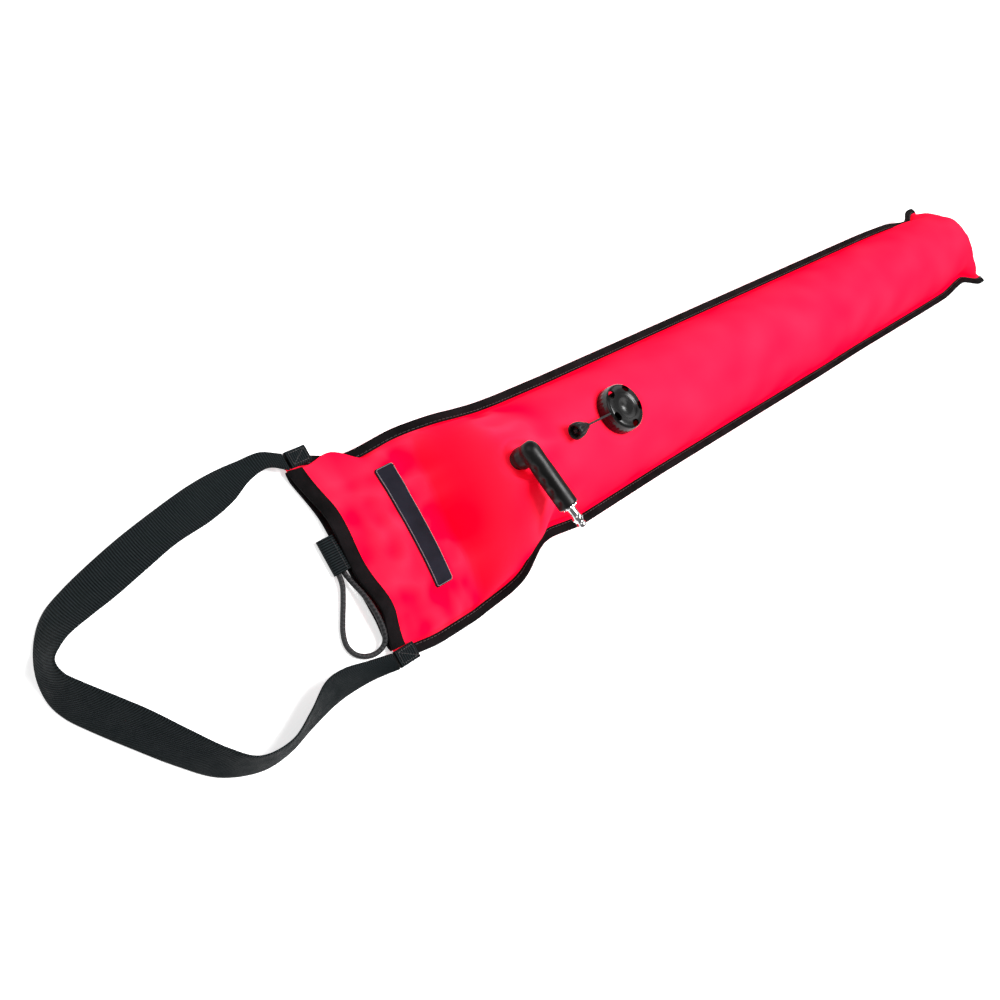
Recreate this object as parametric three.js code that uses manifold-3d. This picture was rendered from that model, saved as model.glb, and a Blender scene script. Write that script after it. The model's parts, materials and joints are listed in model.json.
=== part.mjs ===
// Inflatable diver's marker tube: a coated-cloth tube with an open skirt at its mouth, a carrying
// strap, a bungee loop, a push-to-inflate nipple and a pull-dump relief valve.
// Millimetres. +X runs from the mouth to the closed end, +Y to the left, +Z up, floor at z = 0.
import * as THREE from 'three';
import { mergeVertices } from 'three/addons/utils/BufferGeometryUtils.js';
import Module from 'manifold-3d';

const wasm = await Module();
wasm.setup();

// ---------------------------------------------------------------- driving sizes
const gap = 0.3;                 // clearance between touching pieces

// bag
const flatWidth = 180;           // laid flat, over both side bindings
const bagLength = 1043;          // mouth edge to the far edge of the end seam
const edgeWidth = 10;            // depth of a bound edge
const cloth = 1;                 // coated cloth
const tape = 0.9;                // binding tape
const skirtLength = 76;          // mouth edge to the neck seam
const mouthHeight = 17;          // top of the lying skirt at its mouth
const neckHeight = 28;           // and where the tube starts to rise
const neckX = 84;
const shoulderLength = 27;       // rise from the neck to the full tube
const skirtSeamHeight = 6;       // height of the skirt's side edges
const floorSag = 3.3;            // how far the lying tube flattens
const noseLength = 50;           // rounding of the closed end
const earSpread = 8;             // end corners stand out past the tube's wall
const earPinch = 5;              // and the wall pulls in just before them
const endTwist = THREE.MathUtils.degToRad(16);
const twistLength = 230;
const seamSpan = { left: [25, 115], right: [85, 150] };   // where each side seam climbs
// How far each side is drawn in at a distance from the mouth: 0 lies flat, 1 is the full tube.
const drawnIn = {
  left: [[0, 0.07], [18, 0.24], [35, 0.57], [46, 0.62], [73, 0.59], [92, 0.69], [116, 0.83],
    [141, 0.93], [165, 0.97], [230, 1]],
  right: [[0, 0.25], [15, 0.2], [35, 0.09], [80, 0.09], [100, 0.17], [115, 0.28], [125, 0.5],
    [137, 0.96], [148, 1.04], [165, 0.96], [185, 0.87], [300, 0.93], [610, 0.96], [710, 1]],
};
const endDraw = 5;               // the closed end's middle is drawn back from its corners

// relief valve
const valveX = 237;
const valveY = 3;
const valveFlange = 19;         // welded disc under the cloth
const valveSpigot = 10.5;        // outside radius of the welded spigot
const valveBore = 8.5;
const seatHeight = 5;            // valve seat above the cloth
const valveRing = 2.4;           // wall of the ring screwed onto the spigot
const poppetRadius = 9.6;
const poppetPlate = 1.4;
const sealPlate = 1;
const poppetLift = 2.2;
const capRadius = 20;
const capHeight = 14;
const capWall = 1.5;
const hubWall = 1.1;             // inner ring of the cap
const slotCount = 5;
const slotRadius = 2.7;
const slotCircle = 16.5;
const slotTurn = THREE.MathUtils.degToRad(18);
const cordDiameter = 1.8;
const cordHeight = 11.3;         // pull cord above the cloth
const knobLength = 16;
const knobRadius = 7;
const knobX = 177;               // middle of the knob

// inflator
const inflatorX = 116;
const inflatorY = 4;
const inflatorHeading = THREE.MathUtils.degToRad(9);
const inflatorFlange = 10;
const spigotRadius = 5.6;
const spigotBore = 3.6;
const spigotHeight = 7;
const neckRadius = 7.3;
const barrelHeight = 17;         // barrel axis above the cloth
const barrelRadius = 6.2;
const barrelBore = 5;
const barrelLength = 43;         // neck axis to the open end
const gripWall = 1.5;
const gripLength = 48;
const gripDimples = 4;
const pressTravel = 3;
const stemLength = 20;
const collarRadius = 5.9;
const collarLength = 3;
const collarNotches = 6;
const nippleRadius = 3.6;
const nippleLength = 17;
const nippleBore = 2.1;

// webbing, bungee and patch
const webbing = 1.6;
const tabWidth = 13;
const bungeeDiameter = 4;
const bungeeTabWidth = 28;
const patchLength = 100;
const patchWidth = 15;
const patchThickness = 1.2;
const patchX = 57;

const at = (x, y, z) => new THREE.Vector3(x, y, z);
const smooth = (from, to, x) => THREE.MathUtils.smoothstep(x, from, to);
const mix = THREE.MathUtils.lerp;

// ---------------------------------------------------------------- derived sizes
const innerHalf = flatWidth / 2 - edgeWidth;
const tubeRadius = 2 * innerHalf / Math.PI;
const axisHeight = tubeRadius - floorSag;
const tubeTop = axisHeight + tubeRadius;
const sealEnd = bagLength - edgeWidth;
const noseStart = sealEnd - noseLength;
const flange = edgeWidth - gap - tape;
const skirtFloor = gap + tape;
const seamRise = gap / 2 + cloth;                  // outer face of a panel from the seam plane
const gripRadius = barrelRadius + gap + gripWall;

// The cloth lies flat over each welded disc, so it is lowered to the tube's height at the disc's
// far edge.
const valveFoot = Math.max(valveFlange, capRadius) + gap;
const valveReach = valveFoot + Math.abs(valveY);
const inflatorReach = inflatorFlange + Math.abs(inflatorY) + gap;
const domeOver = (reach, crest) => axisHeight + seamRise
  + (crest - axisHeight - seamRise) * Math.sqrt(1 - (reach / tubeRadius) ** 2);
const shoulderCrest = (x) => mix(neckHeight, tubeTop,
  Math.sin(Math.min(Math.max(x - neckX, 0) / shoulderLength, 1) * Math.PI / 2));
const valveDeck = domeOver(valveReach, tubeTop) - gap;
const inflatorDeck = domeOver(inflatorReach, shoulderCrest(inflatorX - inflatorFlange - 2)) - gap;

// ---------------------------------------------------------------- finishes
const finish = (color, roughness, metalness) =>
  new THREE.MeshStandardMaterial({ color, roughness, metalness });
const redCloth = () => finish(0xff1f4b, 0.55, 0);
const blackTape = () => finish(0x16171a, 0.85, 0);
const blackWebbing = () => finish(0x1c2226, 0.8, 0);
const blackRubber = () => finish(0x1b1a1c, 0.6, 0);
const blackPlastic = () => finish(0x232022, 0.25, 0);
const chrome = () => finish(0xd9d9dc, 0.15, 1);
const springSteel = () => finish(0x9a9ca0, 0.3, 1);
const film = () => finish(0x8a1030, 0.4, 0);

// ---------------------------------------------------------------- building helpers
const part = new THREE.Group();

function addPiece(name, geometry, material, parent = part) {
  const mesh = new THREE.Mesh(geometry, material);
  mesh.name = name;
  parent.add(mesh);
  return mesh;
}

function signedVolume(positions, index) {
  const corner = [at(0, 0, 0), at(0, 0, 0), at(0, 0, 0)];
  let volume = 0;
  for (let i = 0; i < index.length; i += 3) {
    corner.forEach((v, k) => v.fromArray(positions, 3 * index[i + k]));
    volume += corner[0].dot(corner[1].clone().cross(corner[2])) / 6;
  }
  return volume;
}

// A closed sheet through a row of stations. A station holds the sheet's front and back points,
// paired one to one; the sheet's own edges and its two ends are closed with quads.
function sheet(stations) {
  const across = stations[0].front.length;
  const rows = stations.length;
  const points = stations.flatMap((s) => [...s.front, ...s.back]);
  const id = (row, back, i) => (row * 2 + back) * across + i;
  const index = [];
  const quad = (a, b, c, d) => index.push(a, b, c, a, c, d);
  for (let r = 0; r + 1 < rows; r += 1) {
    for (let i = 0; i + 1 < across; i += 1) {
      quad(id(r, 0, i), id(r, 0, i + 1), id(r + 1, 0, i + 1), id(r + 1, 0, i));
      quad(id(r, 1, i + 1), id(r, 1, i), id(r + 1, 1, i), id(r + 1, 1, i + 1));
    }
    const end = across - 1;
    quad(id(r, 1, 0), id(r, 0, 0), id(r + 1, 0, 0), id(r + 1, 1, 0));
    quad(id(r, 0, end), id(r, 1, end), id(r + 1, 1, end), id(r + 1, 0, end));
  }
  for (let i = 0; i + 1 < across; i += 1) {
    const last = rows - 1;
    quad(id(0, 0, i), id(0, 1, i), id(0, 1, i + 1), id(0, 0, i + 1));
    quad(id(last, 0, i + 1), id(last, 1, i + 1), id(last, 1, i), id(last, 0, i));
  }
  const positions = points.flatMap((p) => [p.x, p.y, p.z]);
  if (signedVolume(positions, index) < 0) index.reverse();
  const geometry = new THREE.BufferGeometry();
  geometry.setAttribute('position', new THREE.Float32BufferAttribute(positions, 3));
  geometry.setIndex(index);
  return geometry;
}

function toSolid(geometry) {
  const bare = geometry.clone();
  bare.deleteAttribute('normal');
  bare.deleteAttribute('uv');
  const merged = mergeVertices(bare, 1e-4);
  return new wasm.Manifold(new wasm.Mesh({
    numProp: 3,
    vertProperties: new Float32Array(merged.attributes.position.array),
    triVerts: new Uint32Array(merged.index.array),
  }));
}

function toGeometry(solid) {
  const mesh = solid.getMesh();
  const geometry = new THREE.BufferGeometry();
  geometry.setAttribute('position', new THREE.BufferAttribute(mesh.vertProperties, 3));
  geometry.setIndex(new THREE.BufferAttribute(mesh.triVerts, 1));
  return geometry;
}

const cut = (geometry, ...tools) =>
  toGeometry(tools.reduce((solid, tool) => solid.subtract(toSolid(tool)), toSolid(geometry)));
const join = (geometry, ...others) =>
  toGeometry(others.reduce((solid, other) => solid.add(toSolid(other)), toSolid(geometry)));

// A turned solid about Z from a closed profile of [radius, height] pairs.
function turned(profile, segments = 24) {
  const closed = profile[0][0] === 0 ? profile : [...profile, profile[0]];
  const points = closed.map(([r, z]) => new THREE.Vector2(r, z));
  const geometry = new THREE.LatheGeometry(points, segments).rotateX(Math.PI / 2);
  const index = Array.from(geometry.index.array);
  if (signedVolume(geometry.attributes.position.array, index) < 0) index.reverse();
  geometry.setIndex(index);
  return geometry;
}

// A cylinder along Z between two heights.
function rod(radius, low, high, segments = 24) {
  return new THREE.CylinderGeometry(radius, radius, high - low, segments)
    .rotateX(Math.PI / 2)
    .translate(0, 0, (low + high) / 2);
}

// A round bar along a smooth curve.
function bar(points, diameter, sides, steps) {
  const section = new THREE.Shape();
  for (let k = 0; k < sides; k += 1) {
    const turn = 2 * Math.PI * k / sides;
    const x = Math.cos(turn) * diameter / 2;
    const y = Math.sin(turn) * diameter / 2;
    if (k === 0) section.moveTo(x, y);
    else section.lineTo(x, y);
  }
  section.closePath();
  return new THREE.ExtrudeGeometry(section, {
    steps,
    extrudePath: new THREE.CatmullRomCurve3(points, false, 'centripetal'),
  });
}

// A helical spring along Z.
function coil(radius, wire, low, high, turns) {
  const perTurn = 10;
  const points = [];
  for (let k = 0; k <= turns * perTurn; k += 1) {
    const turn = 2 * Math.PI * k / perTurn;
    const climb = k / (turns * perTurn);
    points.push(at(radius * Math.cos(turn), radius * Math.sin(turn),
      mix(low + wire / 2, high - wire / 2, climb)));
  }
  return bar(points, wire, 6, turns * perTurn);
}

// ---------------------------------------------------------------- the bag's shape
// Half section: the seam stands at (half, height); the panels arch from one seam to the other.
const sideOf = (sign, pair) => (sign > 0 ? pair.left : pair.right);
const nose = (x) => Math.sqrt(Math.max(0, 1 - (Math.max(0, x - noseStart) / noseLength) ** 2));

// The share at x along a list of [x, share] pairs, straight between its neighbours.
function shareAt(pairs, x) {
  const next = pairs.findIndex(([end]) => end > x);
  if (next < 0) return pairs[pairs.length - 1][1];
  const [from, low] = pairs[next - 1];
  const [to, high] = pairs[next];
  return mix(low, high, (x - from) / (to - from));
}

function seamHalf(sign, x) {
  const body = mix(innerHalf, tubeRadius, shareAt(sideOf(sign, drawnIn), x));
  const pinch = earPinch * smooth(noseStart - noseLength, noseStart + noseLength / 4, x);
  const ear = (earSpread + earPinch) * smooth(noseStart + noseLength / 4, sealEnd, x);
  return body - pinch + ear;
}

const seamHeight = (sign, x) =>
  mix(skirtSeamHeight, axisHeight, smooth(...sideOf(sign, seamSpan), x));

function crestHeight(x) {
  const skirt = mix(mouthHeight, neckHeight, smooth(skirtLength / 3, neckX, x));
  const open = x < neckX ? skirt : shoulderCrest(x);
  return axisHeight + seamRise + (open - axisHeight - seamRise) * nose(x);
}

const bottomHeight = (x) => axisHeight - seamRise - (axisHeight - seamRise + floorSag) * nose(x);
const floorUnder = (x) => mix(skirtFloor, 0, smooth(20, 60, x));
const flattened = (x, centre, deck, reach) =>
  (tubeTop - deck) * (1 - smooth(reach, reach * 2.4, Math.abs(x - centre)));
const roofOver = (x) => tubeTop
  - flattened(x, valveX, valveDeck, valveFoot)
  - flattened(x, inflatorX, inflatorDeck, inflatorFlange + gap);
const rollAt = (x) => -endTwist * smooth(sealEnd - twistLength, sealEnd, x);

// Stations along X: fine at the skirt, neck, fittings and closed end, coarse along the tube.
const skirtStations = [0, edgeWidth, 18, 26, 35, 46, 57, 65];
const neckStations = [80, neckX, 88, 92, 97];
const inflatorStations = [-12, 0, 12, 20, 28].map((d) => inflatorX + d);
const valveStations = [-70, -52, -36, -22, -11, 0, 11, 22, 36, 52].map((d) => valveX + d);
const twistSteps = 6;
const tubeStations = [0.25, 0.5, 0.75]
  .map((share) => mix(valveX + 52, sealEnd - twistLength, share));
for (let k = 0; k < twistSteps; k += 1) {
  tubeStations.push(mix(sealEnd - twistLength, noseStart - noseLength, k / twistSteps));
}
const endStations = [-50, -25, 0, 12, 22, 31, 38, 44, 48, 50].map((d) => noseStart + d);
const tubeRow = [...neckStations, ...inflatorStations, ...valveStations, ...tubeStations,
  ...endStations];

// Bends across a panel, from the left seam at 0 to the right one at 1. The four nearest the crest
// line follow the edges of the two flat places.
const arcSteps = 14;
const leanAt = (y) => Math.acos(y / tubeRadius) / Math.PI;
const leans = [];
for (let k = 0; k <= arcSteps; k += 1) leans.push(k / arcSteps);
const crestStep = arcSteps / 2;
[inflatorReach, valveReach].forEach((reach, k) => {
  leans[crestStep - 1 - k] = leanAt(reach);
  leans[crestStep + 1 + k] = leanAt(-reach);
});

function rolled(x, y, z) {
  const roll = rollAt(x);
  const up = z - axisHeight;
  return at(x, y * Math.cos(roll) - up * Math.sin(roll),
    axisHeight + y * Math.sin(roll) + up * Math.cos(roll));
}

// One point of a panel. lean 0 is at the left seam, 1 at the right; up is 1 for the upper panel
// and -1 for the lower one; depth 0 is the outer face and 1 the inner.
function panelPoint(x, lean, up, depth) {
  const turn = Math.PI * lean;
  const sign = Math.cos(turn) >= 0 ? 1 : -1;
  const seam = seamHeight(sign, x);
  const base = up * seamRise;
  const arch = (up > 0 ? crestHeight(x) : bottomHeight(x)) - seam - base;
  const y = (seamHalf(sign, x) - depth * cloth) * Math.cos(turn);
  const z = seam + base + arch * Math.sin(turn) - depth * up * cloth;
  const point = rolled(x, y, z);
  point.x -= endDraw * Math.sin(turn) * smooth(noseStart, bagLength, x);
  point.z = Math.max(point.z, floorUnder(x) + (up < 0 ? depth * cloth : 0));
  if (up > 0) point.z = Math.min(point.z, roofOver(x) - depth * cloth);
  return point;
}

// The flat seam allowance outside a side seam.
function flangePoint(x, sign, out, rise) {
  return rolled(x, sign * (seamHalf(sign, x) + out), seamHeight(sign, x) + rise);
}

function panelStation(x, up) {
  const face = (depth) => {
    const rise = up * (gap / 2 + cloth * (1 - depth));
    const arc = leans.map((lean) => panelPoint(x, lean, up, depth));
    return [flangePoint(x, 1, flange, rise), ...arc, flangePoint(x, -1, flange, rise)];
  };
  return { front: face(0), back: face(1) };
}

const panel = (stations, up) => sheet(stations.map((x) => panelStation(x, up)));

// ---------------------------------------------------------------- panels
const neckSeam = gap / 2;
const skirtRow = [...skirtStations, skirtLength - neckSeam];
const tubePanelRow = [skirtLength + neckSeam, ...tubeRow, bagLength];
const spigotHole = rod(spigotRadius + gap, 0, 2 * barrelHeight, 20)
  .translate(inflatorX, inflatorY, inflatorDeck - barrelHeight);
const valveHole = rod(valveSpigot + gap, 0, 2 * capHeight, 24)
  .translate(valveX, valveY, valveDeck - capHeight);
addPiece('upper_skirt_panel', panel(skirtRow, 1), redCloth());
addPiece('lower_skirt_panel', panel(skirtRow, -1), redCloth());
addPiece('upper_tube_panel', cut(panel(tubePanelRow, 1), spigotHole, valveHole), redCloth());
addPiece('lower_tube_panel', panel(tubePanelRow, -1), redCloth());

// ---------------------------------------------------------------- bindings
const bound = seamRise + gap;             // inner face of a binding from the seam plane
const bindingInset = 2;                   // bindings stop this far from the inflated wall

function sideBinding(sign) {
  const row = [...skirtStations, skirtLength, ...tubeRow, bagLength];
  return sheet(row.map((x) => {
    const spot = (out, rise) => flangePoint(x, sign, out, rise);
    const shell = (over) => [
      spot(bindingInset, bound + over), spot(flange + gap + over, bound + over),
      spot(flange + gap + over, -bound - over), spot(bindingInset, -bound - over),
    ];
    return { front: shell(tape), back: shell(0) };
  }));
}
addPiece('left_side_binding', sideBinding(1), blackTape());
addPiece('right_side_binding', sideBinding(-1), blackTape());

function mouthBinding(up) {
  const stations = [];
  for (let k = 1; k < arcSteps; k += 1) {
    const spot = (from, depth, x, rise) => {
      const { y, z } = panelPoint(from, leans[k], up, depth);
      return at(x, y, z + up * rise);
    };
    const shell = (over) => [
      spot(edgeWidth, 0, edgeWidth, gap + over), spot(0, 0, -gap - over, gap + over),
      spot(0, 1, -gap - over, -gap - over), spot(edgeWidth, 1, edgeWidth, -gap - over),
    ];
    stations.push({ front: shell(tape), back: shell(0) });
  }
  return sheet(stations);
}
addPiece('upper_mouth_binding', mouthBinding(1), blackTape());
addPiece('lower_mouth_binding', mouthBinding(-1), blackTape());

// ---------------------------------------------------------------- one-way neck baffle
// Two film leaves line the neck and meet in a flat duckbill inside the tube.
const baffleRow = [97, 108, 124, 146, 175, 200];
const baffleEnd = baffleRow[baffleRow.length - 1];
const baffleThickness = 0.6;
const baffleSteps = 8;

function baffleLeaf(up) {
  return sheet(baffleRow.map((x) => {
    const closing = smooth(baffleRow[0] - 20, baffleEnd, x);
    const half = tubeRadius * mix(1, 0.86, closing);
    const crest = up > 0 ? crestHeight(x) : bottomHeight(x);
    const face = (depth) => {
      const points = [];
      for (let k = 0; k <= baffleSteps; k += 1) {
        const turn = Math.PI * mix(0.08, 0.92, k / baffleSteps);
        const arch = (crest - axisHeight) * mix(0.62, 0, closing) * Math.sin(turn);
        const base = up * (gap + baffleThickness * (1 - depth));
        points.push(at(x, half * Math.cos(turn), axisHeight + base + arch));
      }
      return points;
    };
    return { front: face(0), back: face(1) };
  }));
}
addPiece('upper_baffle_leaf', baffleLeaf(1), film());
addPiece('lower_baffle_leaf', baffleLeaf(-1), film());

// ---------------------------------------------------------------- label patch
function labelPatch() {
  const stations = [];
  const steps = 8;
  for (let k = 0; k <= steps; k += 1) {
    const y = mix(-patchLength / 2, patchLength / 2, k / steps);
    const heights = [-1, 1].map((end) => {
      const x = patchX + end * patchWidth / 2;
      const half = seamHalf(y >= 0 ? 1 : -1, x);
      return { x, z: panelPoint(x, Math.acos(y / half) / Math.PI, 1, 0).z };
    });
    const face = (over) => heights.map(({ x, z }) => at(x, y, z + 2 * gap + over));
    stations.push({ front: face(patchThickness), back: face(0) });
  }
  return sheet(stations);
}
addPiece('label_patch', labelPatch(), blackTape());

// ---------------------------------------------------------------- carrying strap
// Each end is folded narrow and sewn down on a corner of the mouth. The route lists the strap's
// outer edge, which lies on the floor, and its inner edge, which stands up from it.
const strapPivotX = -9;
const strapTabX = [-7, 11.5];
const foldedWebbing = 2 * webbing;
const tabBase = skirtSeamHeight + bound + tape + gap;
const tabMiddle = tabBase + foldedWebbing / 2;
const tabInner = (sign) => Math.max(...[0, strapTabX[1]].map((x) => seamHalf(sign, x))) - 0.2;
const strapRoute = [
  [[-24, 97, 9], [-24, 84, 11]], [[-40, 98, 4], [-42, 81, 11]],
  [[-60, 98, 1], [-62, 72, 12]], [[-84, 95, 1], [-84, 66, 12]],
  [[-114, 88.5, 1], [-114, 61.5, 13]], [[-142, 81.5, 1], [-140, 54.5, 13]],
  [[-168, 73.5, 1], [-165, 47.5, 14]], [[-190, 65.5, 1], [-187, 42.5, 17]],
  [[-207, 57, 1], [-205, 38, 22]], [[-219, 44, 1], [-216, 33, 26]],
  [[-227, 27, 1], [-223, 27, 28]], [[-229, 10, 1], [-222, 18, 28]],
  [[-225, -4, 1], [-214, 8, 26]], [[-215, -19, 1], [-203, -5, 25]],
  [[-198, -41, 1], [-187, -25, 25]], [[-180, -63, 1], [-171, -48, 25]],
  [[-160, -83, 1], [-156, -69, 26]], [[-134, -94.5, 1], [-140, -84, 27]],
  [[-110, -95, 1], [-116, -86, 27]], [[-86, -89, 1], [-94, -77, 25]],
  [[-62, -84, 2], [-72, -66, 21]], [[-42, -83, 3], [-52, -65, 17]],
  [[-24, -84, 6], [-28, -70, 12]],
];

function strapStation(outer, inner, along, thickness) {
  const width = inner.clone().sub(outer);
  const normal = width.clone().cross(along).normalize().multiplyScalar(thickness / 2);
  return {
    front: [outer.clone().add(normal), inner.clone().add(normal)],
    back: [outer.clone().sub(normal), inner.clone().sub(normal)],
  };
}

function carryStrap() {
  const ends = [1, -1].map((sign) => [
    [strapPivotX, sign * (tabInner(sign) + tabWidth), tabMiddle],
    [strapPivotX, sign * tabInner(sign), tabMiddle],
  ]);
  const route = [ends[0], ...strapRoute, ends[1]].map((pair) => pair.map((p) => at(...p)));
  const middles = route.map(([outer, inner]) => outer.clone().add(inner).multiplyScalar(0.5));
  return sheet(route.map(([outer, inner], k) => {
    const before = middles[Math.max(k - 1, 0)];
    const after = middles[Math.min(k + 1, middles.length - 1)];
    const atEnd = k === 0 || k === route.length - 1;
    const along = atEnd ? at(k === 0 ? -1 : 1, 0, 0) : after.clone().sub(before);
    const folded = k < 2 || k > route.length - 3;
    return strapStation(outer, inner, along, folded ? foldedWebbing : webbing);
  }));
}
addPiece('carry_strap', carryStrap(), blackWebbing());

function strapTab(sign) {
  const length = strapTabX[1] - strapTabX[0];
  return new THREE.BoxGeometry(length, tabWidth, foldedWebbing).translate(
    (strapTabX[0] + strapTabX[1]) / 2, sign * (tabInner(sign) + tabWidth / 2), tabMiddle);
}
addPiece('left_strap_tab', strapTab(1), blackWebbing());
addPiece('right_strap_tab', strapTab(-1), blackWebbing());

// ---------------------------------------------------------------- bungee loop
// Both strands run through a folded webbing tab sewn to the middle of the lower lip.
const strand = { front: -11.2, back: -6.4, height: 3.8 };
const bungeeTabY = 8;

function bungeeTab() {
  const clear = bungeeDiameter / 2 + gap;
  const mouthFace = -gap - tape - gap;
  const bend = 1.3;
  const shell = (over, y) => {
    const left = strand.front - clear - over;
    const top = strand.height + clear + over;
    const low = strand.height - clear - over;
    return [at(mouthFace, y, top), at(left + bend, y, top), at(left, y, top - bend),
      at(left, y, low + bend), at(left + bend, y, low), at(mouthFace, y, low)];
  };
  const wall = 1.2;
  return sheet([-1, 1].map((end) => {
    const y = bungeeTabY + end * bungeeTabWidth / 2;
    return { front: shell(wall, y), back: shell(0, y) };
  }));
}
addPiece('bungee_tab', bungeeTab(), blackWebbing());

const bungeeRoute = [
  [strand.front, 18, strand.height], [strand.front, 6, strand.height],
  [strand.front, -6, strand.height], [-13, -15, 3.5], [-18.5, -25, 2.8], [-25, -35, 2.4],
  [-30.5, -44, 2.3], [-33, -53, 2.3], [-30.5, -61, 2.3], [-23.5, -66.5, 2.5],
  [-14.5, -68.5, 3.4], [-7, -65.5, 6], [-4.2, -58, 9], [-3.8, -47, 11], [-3.8, -36, 10.5],
  [-4.3, -25, 8], [-5.5, -15, 5.2], [strand.back, -6, strand.height],
  [strand.back, 6, strand.height], [strand.back, 18, strand.height],
];
addPiece('bungee_loop', bar(bungeeRoute.map((p) => at(...p)), bungeeDiameter, 8, 44), blackRubber());

// ---------------------------------------------------------------- relief valve
const valve = new THREE.Group();
valve.position.set(valveX, valveY, valveDeck);
part.add(valve);
const underCloth = -cloth - gap;

addPiece('valve_flange', turned([
  [valveBore, underCloth - 1.8], [valveFlange, underCloth - 1.8], [valveFlange, underCloth],
  [valveSpigot, underCloth], [valveSpigot, seatHeight], [valveBore, seatHeight],
]), blackPlastic(), valve);

const ringInner = valveSpigot + gap;
const ringOuter = ringInner + valveRing;
addPiece('valve_ring', turned([
  [ringInner, gap], [ringOuter, gap], [ringOuter, seatHeight - 0.5], [ringInner, seatHeight - 0.5],
]), blackPlastic(), valve);

const sealLow = seatHeight + gap;
const sealTop = sealLow + sealPlate;
addPiece('valve_seal', turned([
  [0, sealLow], [poppetRadius, sealLow], [poppetRadius, sealTop], [0, sealTop],
]), blackRubber(), valve);

const plateLow = sealTop + gap;
const plateTop = plateLow + poppetPlate;
const bossRadius = 2.5;
const roofUnder = capHeight - capWall;
const bossTop = roofUnder - gap - poppetLift;    // it meets the cap's roof at full lift
addPiece('valve_poppet', turned([
  [0, plateLow], [poppetRadius, plateLow], [poppetRadius, plateTop], [bossRadius, plateTop],
  [bossRadius, bossTop], [0, bossTop],
]), blackPlastic(), valve);

const springRadius = 5.6;
addPiece('valve_spring', coil(springRadius, 0.6, plateTop + gap, roofUnder - gap, 2.5),
  springSteel(), valve);

function valveCap() {
  const hubInner = ringOuter + gap;
  const hubOuter = hubInner + hubWall;
  const inside = capRadius - capWall;
  const dome = turned([
    [0, capHeight], [0.8 * capRadius, capHeight - 0.3], [0.94 * capRadius, capHeight - 1.4],
    [capRadius, capHeight - 3.6], [capRadius, gap], [inside, gap], [inside, roofUnder - 2],
    [inside - 1.2, roofUnder], [hubOuter, roofUnder], [hubOuter, gap + 1], [hubInner, gap + 1],
    [hubInner, roofUnder], [0, roofUnder],
  ], 30);
  const slots = [];
  for (let k = 0; k < slotCount; k += 1) {
    const turn = 2 * Math.PI * k / slotCount - slotTurn;
    slots.push(rod(slotRadius, roofUnder - 1, capHeight + 1, 12).translate(
      slotCircle * Math.cos(turn), slotCircle * Math.sin(turn), 0));
  }
  const cordHole = rod(cordDiameter / 2 + gap, -capRadius - 1, -hubInner + 1, 10)
    .rotateY(Math.PI / 2)
    .translate(0, 0, cordHeight);
  return cut(dome, ...slots, cordHole);
}
addPiece('valve_cap', valveCap(), blackPlastic(), valve);

// The pull cord leaves the cap level and passes through the knob to a knot in its hollow end.
const knobHeight = tubeTop - valveDeck + gap + knobRadius;   // it lies on the tube
const knobMiddle = knobX - valveX;
const cordInner = -(springRadius + 1.8);
const knobFar = knobMiddle - knobLength / 2;
const knotRadius = 2;
const knobFloor = 4.4;           // depth of the knob's hollow end
const cordRow = [
  [cordInner, cordHeight], [-capRadius, cordHeight], [-capRadius - 4, cordHeight],
  [knobMiddle + knobLength / 2 + 1, knobHeight], [knobMiddle, knobHeight],
  [knobFar + knobFloor, knobHeight],
];
addPiece('pull_cord', bar(cordRow.map(([x, z]) => at(x, 0, z)), cordDiameter, 8, 14),
  blackRubber(), valve);

function pullKnob() {
  const bore = cordDiameter / 2 + gap;
  const small = knobRadius * 0.42;
  const hollow = knotRadius + 2 * gap;
  const body = turned([
    [bore, knobLength], [small, knobLength], [small * 1.15, knobLength - 2],
    [knobRadius * 0.8, knobLength * 0.5], [knobRadius, knobLength * 0.3],
    [knobRadius, 1.5], [knobRadius - 1.5, 0], [hollow, 0], [hollow, knobFloor], [bore, knobFloor],
  ], 20);
  return body.rotateY(Math.PI / 2).translate(knobFar, 0, knobHeight);
}
addPiece('pull_knob', pullKnob(), blackRubber(), valve);
addPiece('cord_knot', new THREE.SphereGeometry(knotRadius, 10, 8)
  .translate(knobFar + knobFloor - gap - knotRadius, 0, knobHeight), blackRubber(), valve);

// ---------------------------------------------------------------- inflator
// Built with its barrel along -Y of its own group, then turned to its heading.
const inflator = new THREE.Group();
inflator.position.set(inflatorX, inflatorY, inflatorDeck);
inflator.rotation.z = inflatorHeading;
part.add(inflator);
const alongBarrel = (geometry) => geometry.rotateX(Math.PI / 2).translate(0, 0, barrelHeight);

addPiece('inflator_flange', turned([
  [spigotBore, underCloth - 1.6], [inflatorFlange, underCloth - 1.6],
  [inflatorFlange, underCloth], [spigotRadius, underCloth], [spigotRadius, spigotHeight],
  [spigotBore, spigotHeight],
]), blackPlastic(), inflator);

// The elbow screws over the spigot and carries the barrel that the nipple slides in.
const barrelStop = 10;           // the spring bears on the bore's step, this far from the neck
function elbowOuter(over) {
  const neck = rod(neckRadius + over, gap, barrelHeight + over, 20);
  const barrel = alongBarrel(rod(barrelRadius + over, -neckRadius + 1.5 - over,
    barrelLength, 20));
  return join(neck, barrel);
}
addPiece('inflator_elbow', cut(elbowOuter(0),
  rod(spigotRadius + gap, 0, spigotHeight + gap, 20),
  rod(spigotBore, 0, barrelHeight, 16),
  alongBarrel(rod(spigotBore - 0.4, 0, barrelLength + 1, 16)),
  alongBarrel(rod(barrelBore, barrelStop, barrelLength + 1, 20))), blackPlastic(), inflator);

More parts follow.
